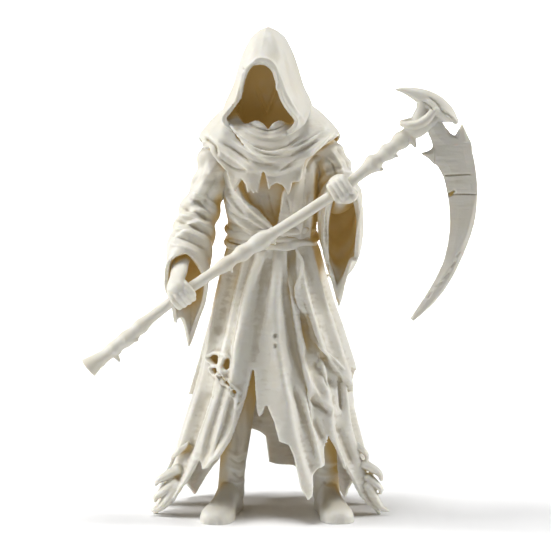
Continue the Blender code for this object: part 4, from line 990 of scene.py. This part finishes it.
def drawStrokes(mesh, strokes, shift):
    points, normals = pointsOf(mesh) / share - shift, normalsOf(mesh)
    lean = math.radians(studio["elevation"])
    facing = normals @ np.array((0.0, -math.cos(lean), math.sin(lean)))
    if strokes.get("bothSides"):  # both faces get the same marks
        facing = np.abs(facing)
    shown = np.clip(facing * 2.2, -1 if strokes.get("bothWalls") else 0, 1)
    shown = shown * (points[:, 1] < strokes.get("behind", 99.0))
    spots = photoSpots(points)
    lift = np.zeros(len(points))
    for height, width, *line in strokes["lines"]:
        line = np.reshape(line, (-1, 2)).astype(float)
        line = smoothPath(line, 8 * len(line)) if len(line) > 2 else line
        low, high = line.min(0) - 3 * width, line.max(0) + 3 * width
        near = np.nonzero((shown != 0) & (spots > low).all(1) & (spots < high).all(1))[0]
        here = spots[near]
        best, place = np.full(len(near), 1e9), np.zeros(len(near))
        for k in range(len(line) - 1):
            step = line[k + 1] - line[k]
            part = np.clip(((here - line[k]) @ step) / (step @ step), 0, 1)
            away = np.linalg.norm(here - line[k] - part[:, None] * step, axis=1)
            nearer = away < best
            best[nearer] = away[nearer]
            place[nearer] = (k + part[nearer]) / (len(line) - 1)
        fade = np.clip(np.minimum(place, 1 - place) * 5 + strokes.get("ends", 0.25), 0, 1)
        lift[near] += height * np.exp(-((best / width) ** 2)) * fade
    points += normals * (lift * shown)[:, None]
    movePoints(mesh, (points + shift) * share)


# Each stroke: how far it stands out, its width, and the columns and rows along its line

skirtStrokes = {
    "behind": 2.0,
    "bothWalls": True,  # the cloth's inner wall follows its outer one
    "ends": 0.5,
    "lines": [
        (-1.4, 8, 233, 249, 228, 285, 221, 312, 214, 338),
        (1.2, 4.5, 268, 247, 250, 282, 242, 310, 237, 332, 235, 356),
        (-1.4, 5, 273, 248, 263, 292, 258, 325, 253, 358),
        (0.9, 5, 282, 249, 276, 292, 276, 332, 280, 367, 287, 400, 295, 440, 305, 475, 312, 492),
        (-1.7, 3.8, 291, 248, 288, 282, 289, 315, 294, 350, 302, 380, 312, 412, 322, 435),
        (0.9, 3, 297, 280, 299, 325, 303, 352), (-1.5, 5.5, 303, 306, 307, 332, 314, 350, 322, 362),
        (0.9, 3.6, 302, 366, 310, 385, 324, 402, 336, 411), (-1.1, 4.5, 312, 362, 322, 374, 332, 384),
        (-1, 2.6, 306, 388, 316, 402, 328, 412), (-1.3, 3.4, 295, 388, 304, 420, 314, 455),
        (0.8, 2.8, 315, 412, 324, 435, 330, 452), (0.6, 4, 341, 375, 352, 412, 365, 450),
        (-1.1, 1.8, 339, 378, 341, 408), (-1, 3.4, 337, 425, 352, 462),
        (0.8, 3.6, 226, 372, 217, 400, 207, 430, 200, 457), (0.8, 2.6, 238, 392, 232, 425, 220, 450, 206, 470),
        (-1.2, 3.2, 231, 398, 225, 425, 212, 452), (-1.1, 3.8, 211, 388, 200, 420, 189, 450),
        (0.7, 3.6, 200, 390, 187, 425, 176, 455), (0.5, 1.4, 209, 355, 214, 352, 222, 353, 228, 357),
        (0.6, 1.3, 220, 370, 226, 378, 234, 386, 240, 392), (-0.6, 1.3, 216, 374, 222, 382, 230, 390),
        (-0.8, 1.3, 275, 333, 275, 337), (-0.8, 1.3, 275, 343, 275.5, 347),
        (0.7, 1.4, 294, 246, 301, 263, 298, 287, 299, 301, 304, 318, 311, 340, 330, 356, 343, 368),
    ],
}
torsoStrokes = {
    "lines": [
        (0.5, 2, 235, 192, 247, 205, 260, 217, 273, 228), (-0.6, 2, 226, 209, 242, 219, 258, 228, 268, 235),
        (-0.6, 1.8, 224, 219, 237, 227, 252, 233), (-0.6, 2.6, 223, 182, 232, 200, 245, 215),
        (0.5, 2.2, 222, 195, 232, 210, 246, 222), (0.4, 2, 259, 195, 264, 210, 271, 224),
        (-0.4, 1.8, 268, 192, 271, 208, 277, 222), (0.5, 2.8, 300, 172, 297, 192, 295, 212),
        (-0.7, 2.4, 306, 172, 305, 192, 303, 212, 300, 224), (0.5, 2.6, 311, 168, 312, 195, 310, 222),
        (-0.5, 2, 317, 170, 317, 196, 314, 222), (-0.4, 1.6, 285, 196, 289, 215, 286, 228),
        (-0.8, 1.6, 203, 137, 214, 146, 217, 156), (0.4, 1.8, 212, 138, 226, 150, 240, 160),
        (-0.5, 1.7, 221, 143, 237, 152, 252, 165), (0.4, 1.6, 224, 152, 240, 163, 250, 172),
        (-0.5, 1.6, 218, 158, 233, 168, 248, 172), (-0.9, 1.7, 335, 137, 322, 150, 310, 162, 306, 172),
        (0.6, 1.7, 333, 133, 319, 146, 307, 158), (-0.5, 1.7, 322, 131, 302, 142, 284, 150),
        (-0.4, 1.5, 318, 141, 300, 151, 288, 157), (-0.7, 1.8, 246, 121, 256, 128, 268, 131, 280, 128, 291, 120),
        (0.6, 2.2, 241, 127, 255, 136, 268, 139, 282, 136, 295, 127),
        (-0.8, 1.8, 235, 133, 252, 146, 268, 150, 284, 147, 299, 137),
        (0.5, 1.8, 232, 141, 250, 152, 268, 158, 290, 154), (-0.3, 1.6, 228, 147, 247, 159, 266, 165, 286, 162),
        (-0.5, 1.4, 278, 172, 288, 166, 298, 158),
    ],
}
hoodStrokes = {
    "lines": [
        (0.7, 1.6, 257, 88, 264, 108, 267, 114), (0.7, 1.6, 277, 86, 270, 106, 267, 114),
        (-0.9, 1.3, 242, 69, 243, 74),
        (0.5, 1.8, 236, 122, 240, 106, 242, 88, 247, 72, 256, 62, 265, 61, 273, 66, 280, 80, 286, 97,
         296, 112, 303, 122, 300, 132),
        (-0.4, 2.6, 230, 112, 235, 92, 240, 74), (-0.4, 3.5, 285, 50, 293, 80, 303, 108),
        (0.35, 4, 268, 32, 277, 50, 284, 66), (-0.3, 3, 250, 48, 244, 66), (0.35, 2.6, 297, 88, 305, 108, 306, 122),
        (-0.35, 2, 291, 100, 299, 116, 300, 128),
    ],
}
sleeveStrokes = {
    "lines": [
        (0.6, 3.4, 214, 168, 200, 188, 189, 205), (-0.5, 2.6, 219, 172, 210, 190, 204, 204),
        (-0.8, 2, 181, 208, 195, 212, 209, 220), (0.6, 1.9, 178, 214, 193, 218, 208, 227),
        (-0.8, 2, 176, 221, 191, 225, 207, 234), (0.6, 1.9, 174, 228, 190, 232, 206, 240),
        (-0.7, 2, 172, 236, 188, 240, 205, 247), (0.5, 2, 170, 243, 186, 247, 200, 253),
        (-0.7, 2, 187, 198, 200, 203, 213, 214), (0.5, 1.8, 192, 193, 204, 197, 216, 206),
        (-0.5, 2.4, 205, 160, 197, 176, 190, 186), (-0.6, 1.6, 336, 148, 344, 158, 350, 170),
        (0.5, 1.8, 330, 150, 338, 162, 343, 174), (-0.6, 1.6, 326, 158, 333, 168, 336, 178),
        (0.4, 1.8, 322, 166, 328, 176), (-0.4, 1.4, 326, 205, 325, 225, 326, 245),
    ],
}
legStrokes = {
    "lines": [
        (0.5, 2.4, 224, 449, 236, 456, 247, 450), (-0.35, 1.6, 228, 457, 238, 463, 248, 459),
        (0.45, 2.6, 226, 466, 239, 471, 247, 463), (-0.35, 1.6, 232, 472, 240, 478, 249, 472),
        (0.5, 2.2, 227, 481, 238, 484, 249, 477), (0.45, 2.4, 315, 457, 327, 464, 340, 461),
        (-0.35, 1.6, 318, 466, 330, 469, 341, 463), (0.5, 2.4, 316, 475, 328, 477, 342, 470),
        (-0.3, 1.6, 320, 481, 331, 485, 343, 479), (-0.5, 3, 232, 425, 238, 440, 236, 455),
        (0.5, 3, 243, 400, 246, 430, 240, 450),
    ],
}
headStrokes = {
    "lines": [
        (-0.5, 0.9, 426, 100, 432, 104, 438, 112, 441, 119), (0.4, 1, 423, 102, 429, 106, 435, 113),
        (-0.4, 0.8, 420, 104, 426, 108, 431, 113), (-0.7, 1.6, 438, 113, 445, 117, 450, 121),
    ],
}
bladeStrokes = {
    "bothSides": True,
    "ends": 1.0,
    "lines": [
        (-0.55, 0.75, 443, 176.5, 452, 176, 467, 175.5), (-0.6, 0.8, 446, 195.5, 458, 195, 473, 195),
        (-0.9, 1.4, 446, 196, 451, 192), (-0.7, 1.3, 438.5, 263.5, 441, 262.5), (-0.3, 1, 457, 252, 454, 256),
        (-0.35, 1.1, 452, 262, 449, 266), (-0.3, 1, 446, 273, 442, 277), (-0.35, 1.1, 439, 282, 434, 286),
        (-0.3, 1, 430, 292, 426, 297),
        (0.25, 2, 462, 130, 471, 155, 473.5, 180, 471, 205, 463, 235, 448, 265, 430, 292),
    ],
}


# Casting: the overlapping forms of a piece become one closed mesh, with its relief


def joinForms(name, forms, shift):
    points, faces, count = [], [], 0
    for formPoints, formFaces in forms:
        points.append((np.asarray(formPoints) + shift) * share)
        faces.extend([[index + count for index in face] for face in formFaces])
        count += len(formPoints)
    mesh = bpy.data.meshes.new(name)
    mesh.from_pydata(np.vstack(points).tolist(), [], faces)
    whole = bmesh.new()
    whole.from_mesh(mesh)
    bmesh.ops.recalc_face_normals(whole, faces=whole.faces)
    whole.to_mesh(mesh)
    whole.free()
    return mesh


def placed(name, mesh):
    piece = bpy.data.objects.new(name, mesh)
    bpy.context.scene.collection.objects.link(piece)
    return piece


def flatten(piece):  # the piece as its modifiers leave it, with none left on it
    bpy.context.view_layer.update()
    graph = bpy.context.evaluated_depsgraph_get()
    mesh = bpy.data.meshes.new_from_object(piece.evaluated_get(graph))
    piece.modifiers.clear()
    old = piece.data
    piece.data = mesh
    bpy.data.meshes.remove(old)


def readRows(items, field, kind, width):
    flat = np.empty(len(items) * width, kind)
    items.foreach_get(field, flat)
    return flat.reshape(-1, width)


def pointsOf(mesh):
    return readRows(mesh.vertices, "co", np.float32, 3).astype(float)


def normalsOf(mesh):
    return readRows(mesh.vertex_normals, "vector", np.float32, 3).astype(float)


def movePoints(mesh, points):
    mesh.vertices.foreach_set("co", points.astype(np.float32).ravel())
    mesh.update()


def spread(values, ends, rounds):  # evens a value out over the mesh
    count = np.bincount(ends.ravel(), minlength=len(values)).astype(float) + 1
    for _ in range(rounds):
        total = values.copy()
        total += np.bincount(ends[:, 0], values[ends[:, 1]], len(values))
        total += np.bincount(ends[:, 1], values[ends[:, 0]], len(values))
        values = total / count
    return values


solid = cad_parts["grim_reaper"].data
solidTree = BVHTree.FromPolygons([v.co for v in solid.vertices], [p.vertices for p in solid.polygons])
# Rays cast from each spot, their reach, how near counts as a valley, where a ray into the figure starts, and how often
# each result is evened out
hollowLook = {"rays": 7, "reach": 30.0, "near": 4.5, "start": 0.9, "evened": 12, "foldsEvened": 5}


def markHollows(mesh, paintedShelterShade):  # how enclosed each spot is, how deep in a fold and how deep in a crease: the masks for the painted golden shade, the painted shade and the painted highlight
    points, normals = pointsOf(mesh), normalsOf(mesh)
    ends = readRows(mesh.edges, "vertices", np.int32, 2)
    corners = readRows(mesh.loops, "vertex_index", np.int32, 1).reshape(-1, 3)
    own = BVHTree.FromPolygons(points.tolist(), corners.tolist(), all_triangles=True)
    chance = np.random.default_rng(casting["seed"])
    hollowShadeMask, foldShadeMask = np.zeros(len(points)), np.zeros(len(points))
    reach, near = hollowLook["reach"] * share, hollowLook["near"] * share
    for _ in range(hollowLook["rays"]):
        ball = chance.normal(size=points.shape)
        way = normals * 1.02 + ball / np.linalg.norm(ball, axis=1, keepdims=True)
        way /= np.linalg.norm(way, axis=1, keepdims=True)
        start = (points + normals * 0.12 * share).tolist()
        outside = (points + normals * hollowLook["start"] * share).tolist()
        way = way.tolist()
        for k in range(len(points)):
            away = own.ray_cast(start[k], way[k], reach)[3]
            if away is not None:
                hollowShadeMask[k] += 1
                foldShadeMask[k] += away < near
                continue
            spot, facing = solidTree.ray_cast(outside[k], way[k], reach)[:2]
            if spot is not None and facing.dot(way[k]) > 0:  # it started under the coarse surface
                spot = solidTree.ray_cast(spot + Vector(way[k]) * 0.1 * share, way[k], reach)[0]
            hollowShadeMask[k] += spot is not None
    hollowShadeMask = spread(hollowShadeMask / hollowLook["rays"], ends, hollowLook["evened"])
    foldShadeMask = spread(foldShadeMask / hollowLook["rays"], ends, hollowLook["foldsEvened"])
    # Painted shade added to sheltered pieces, rising from a little above the ground
    foldShadeMask += paintedShelterShade * np.clip((points[:, 2] / share - 9) / 12, 0, 1)
    around = np.stack([spread(points[:, k], ends, 2) for k in range(3)], axis=1)
    sunk = spread(((around - points) * normals).sum(1) / share, ends, 1)
    for name, values in (("hollow", hollowShadeMask), ("fold", foldShadeMask), ("crease", np.clip(sunk * 12, -1, 1))):
        layer = mesh.attributes.new(name, "FLOAT", "POINT")
        layer.data.foreach_set("value", values.astype(np.float32))


def castPiece(name, forms, finish, shift, relief, material):
    piece = placed(name, joinForms(name, forms, shift))
    fuse = piece.modifiers.new("fuse", "REMESH")
    fuse.mode = "VOXEL"
    fuse.voxel_size = finish["grain"] * casting["grain"] * share
    fuse.use_smooth_shade = True
    soften = piece.modifiers.new("soften", "SMOOTH")
    soften.factor, soften.iterations = 0.5, finish.get("soften", 1)
    flatten(piece)
    for strokes in finish.get("strokes", ()):
        drawStrokes(piece.data, strokes, shift)
    quads = len(piece.data.polygons)
    texture = piece.modifiers.new("relief", "NODES")
    texture.node_group = relief
    sizes = {key: value * (1.0 if key in ("Patchiness", "Seed") else share) for key, value in finish["relief"].items()}
    setInputs(texture, {**sizes, "Material": material})
    flatten(piece)
    thin = piece.modifiers.new("thin", "DECIMATE")
    thin.ratio = min(1.0, finish["triangles"] / casting["grain"] / (2 * quads))
    thin.use_collapse_triangulate = True
    flatten(piece)
    cutAtGround(piece.data)
    markHollows(piece.data, finish.get("paintedShelterShade", 0.0))
    piece.data.shade_smooth()
    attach(piece, "root")
    print(name, "quads fused", quads, "triangles", len(piece.data.polygons))
    return piece


def cutAtGround(mesh):  # soles and tips rest flat on the ground
    points = pointsOf(mesh)
    points[:, 2] = np.maximum(points[:, 2], 0.0)
    movePoints(mesh, points)


plainRelief = {"Striation Depth": 0.23, "Striation Spacing": 0.75, "Striation Length": 4.6, "Wrinkle Depth": 0.25,
               "Wrinkle Width": 4.0, "Wrinkle Length": 9.0, "Grain Depth": 0.03, "Grain Size": 0.7, "Patchiness": 0.8}


def reliefOf(**changes):
    changes = {key.replace("_", " "): value for key, value in changes.items()}
    return {**plainRelief, **changes, "Seed": float(casting["seed"])}


def main():
    print("drawing the forms")
    relief, material = reliefTree(), makeResin()
    pieces = {
        "robe": ([makeSkirt(), makeCoatTails()] + [limb(line, 12 * len(line), 24, 0.7) for line in robe["curls"]],
                 {"grain": 0.31, "triangles": 195000, "strokes": [skirtStrokes], "relief": reliefOf()}),
        "torso": ([makeBodice(), makeTrunk(), makeMantle(), makeShoulders()],
                  {"grain": 0.27, "triangles": 182000, "strokes": [torsoStrokes], "relief": reliefOf()}),
        "hood": ([makeHood()], {"grain": 0.26, "triangles": 100000, "strokes": [hoodStrokes],
                                "relief": reliefOf(Striation_Depth=0.03, Wrinkle_Depth=0.2)}),
        "sleeves": ([makeSleeve(sleeves[side], sleeves[side + "Mouth"], inner)
                     for side, inner in zip(("right", "left"), sleeves["innerShares"])],
                    {"grain": 0.27, "triangles": 150000, "strokes": [sleeveStrokes],
                     "relief": reliefOf(Striation_Depth=0.12, Wrinkle_Depth=0.22)}),
        "hands": (makeFist(hands["rightCentre"], hands["lowCurl"], hands["rightBack"], hands["rightForefinger"])
                  + makeFist(hands["leftCentre"], hands["highCurl"], hands["leftBack"], hands["leftHeel"]),
                  {"grain": 0.2, "triangles": 60000,
                   "relief": reliefOf(Striation_Depth=0.03, Wrinkle_Depth=0.05)}),
        "sash": (makeSash(twistTree(), material), {"grain": 0.22, "triangles": 60000,
                                                   "relief": reliefOf(Striation_Depth=0.04, Wrinkle_Depth=0.15)}),
        "legs": ([limb(leg, 80, 60) for leg in feet["legs"]] + [makeShoe(*place) for place in feet["places"]],
                 # The legs get extra painted shade
                 {"grain": 0.28, "triangles": 62000, "paintedShelterShade": 0.6, "strokes": [legStrokes],
                  "relief": reliefOf(Striation_Depth=0.03, Wrinkle_Depth=0.2)}),
        "shaft": (makeShaft() + makeKnots(knotTree(), material),
                  {"grain": 0.2, "triangles": 85000, "strokes": [headStrokes],
                   "relief": reliefOf(Striation_Depth=0.03, Wrinkle_Depth=0.08)}),
        "blade": (makeBlade(), {"grain": 0.17, "triangles": 70000, "strokes": [bladeStrokes],
                                "relief": reliefOf(Striation_Depth=0.17, Striation_Spacing=1.0, Striation_Length=6.0,
                                                   Wrinkle_Depth=0.0, Patchiness=0.25)}),
    }
    spots = np.vstack([points for forms, _ in pieces.values() for points, _ in forms])
    shift = np.append(-(spots.min(0) + spots.max(0))[:2] / 2, 0.0)
    for name, (forms, finish) in pieces.items():
        piece = castPiece(name, forms, finish, shift, relief, material)
        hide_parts("grim_reaper")
    return shift


# The studio's camera, lamps and floor


def aim(piece, spot, way):
    piece.location = spot
    piece.rotation_mode = "QUATERNION"
    piece.rotation_quaternion = way.to_track_quat("-Z", "Y")


def setStudio(shift):
    scene = bpy.context.scene
    lean = math.radians(studio["elevation"])
    back = Vector((0.0, -math.cos(lean), math.sin(lean)))
    half = studio["photoWidth"] / 2 - 0.5
    across = (half - studio["figureColumn"]) * studio["sharesPerPixel"] + shift[0]
    rise = studio["groundRow"] - half
    height = rise * studio["sharesPerPixel"] / math.cos(lean) + studio["toeDepth"] * math.tan(lean)
    target = Vector((across, shift[1], height)) * share
    camera = bpy.data.cameras.new("camera")
    camera.lens, camera.sensor_width = studio["lens"], studio["sensor"]
    wide = studio["photoWidth"] * studio["sharesPerPixel"] * share
    stand = placed("camera", camera)
    aim(stand, target + back * (wide * studio["lens"] / studio["sensor"]), -back)
    camera.clip_start, camera.clip_end = 0.05, 30.0
    scene.camera = stand
    world = bpy.data.worlds.new("paleRoom")
    world.use_nodes = True
    glow = world.node_tree.nodes["Background"].inputs
    glow["Color"].default_value, glow["Strength"].default_value = (1.0, 1.0, 1.0, 1.0), studio["room"]
    scene.world = world
    for name, spot, goal, size, power, beam in studio["lamps"]:
        lamp = bpy.data.lights.new(name, "AREA")
        lamp.shape, lamp.size, lamp.energy, lamp.spread = "DISK", size, power, math.radians(beam)
        aim(placed(name, lamp), spot, Vector(goal) - Vector(spot))
    mesh = bpy.data.meshes.new("floor")
    mesh.from_pydata([(-6, -6, 0), (6, -6, 0), (6, 6, 0), (-6, 6, 0)], [], [(0, 1, 2, 3)])
    floor = placed("floor", mesh)
    paint = bpy.data.materials.new("paleFloor")
    paint.use_nodes = True
    coat = paint.node_tree.nodes["Principled BSDF"].inputs
    coat["Base Color"].default_value, coat["Roughness"].default_value = (0.9, 0.9, 0.9, 1.0), 0.9
    mesh.materials.append(paint)
    scene.view_settings.view_transform = "Standard"


shift = main()
print("setting up the camera, lamps and floor")
setStudio(shift)
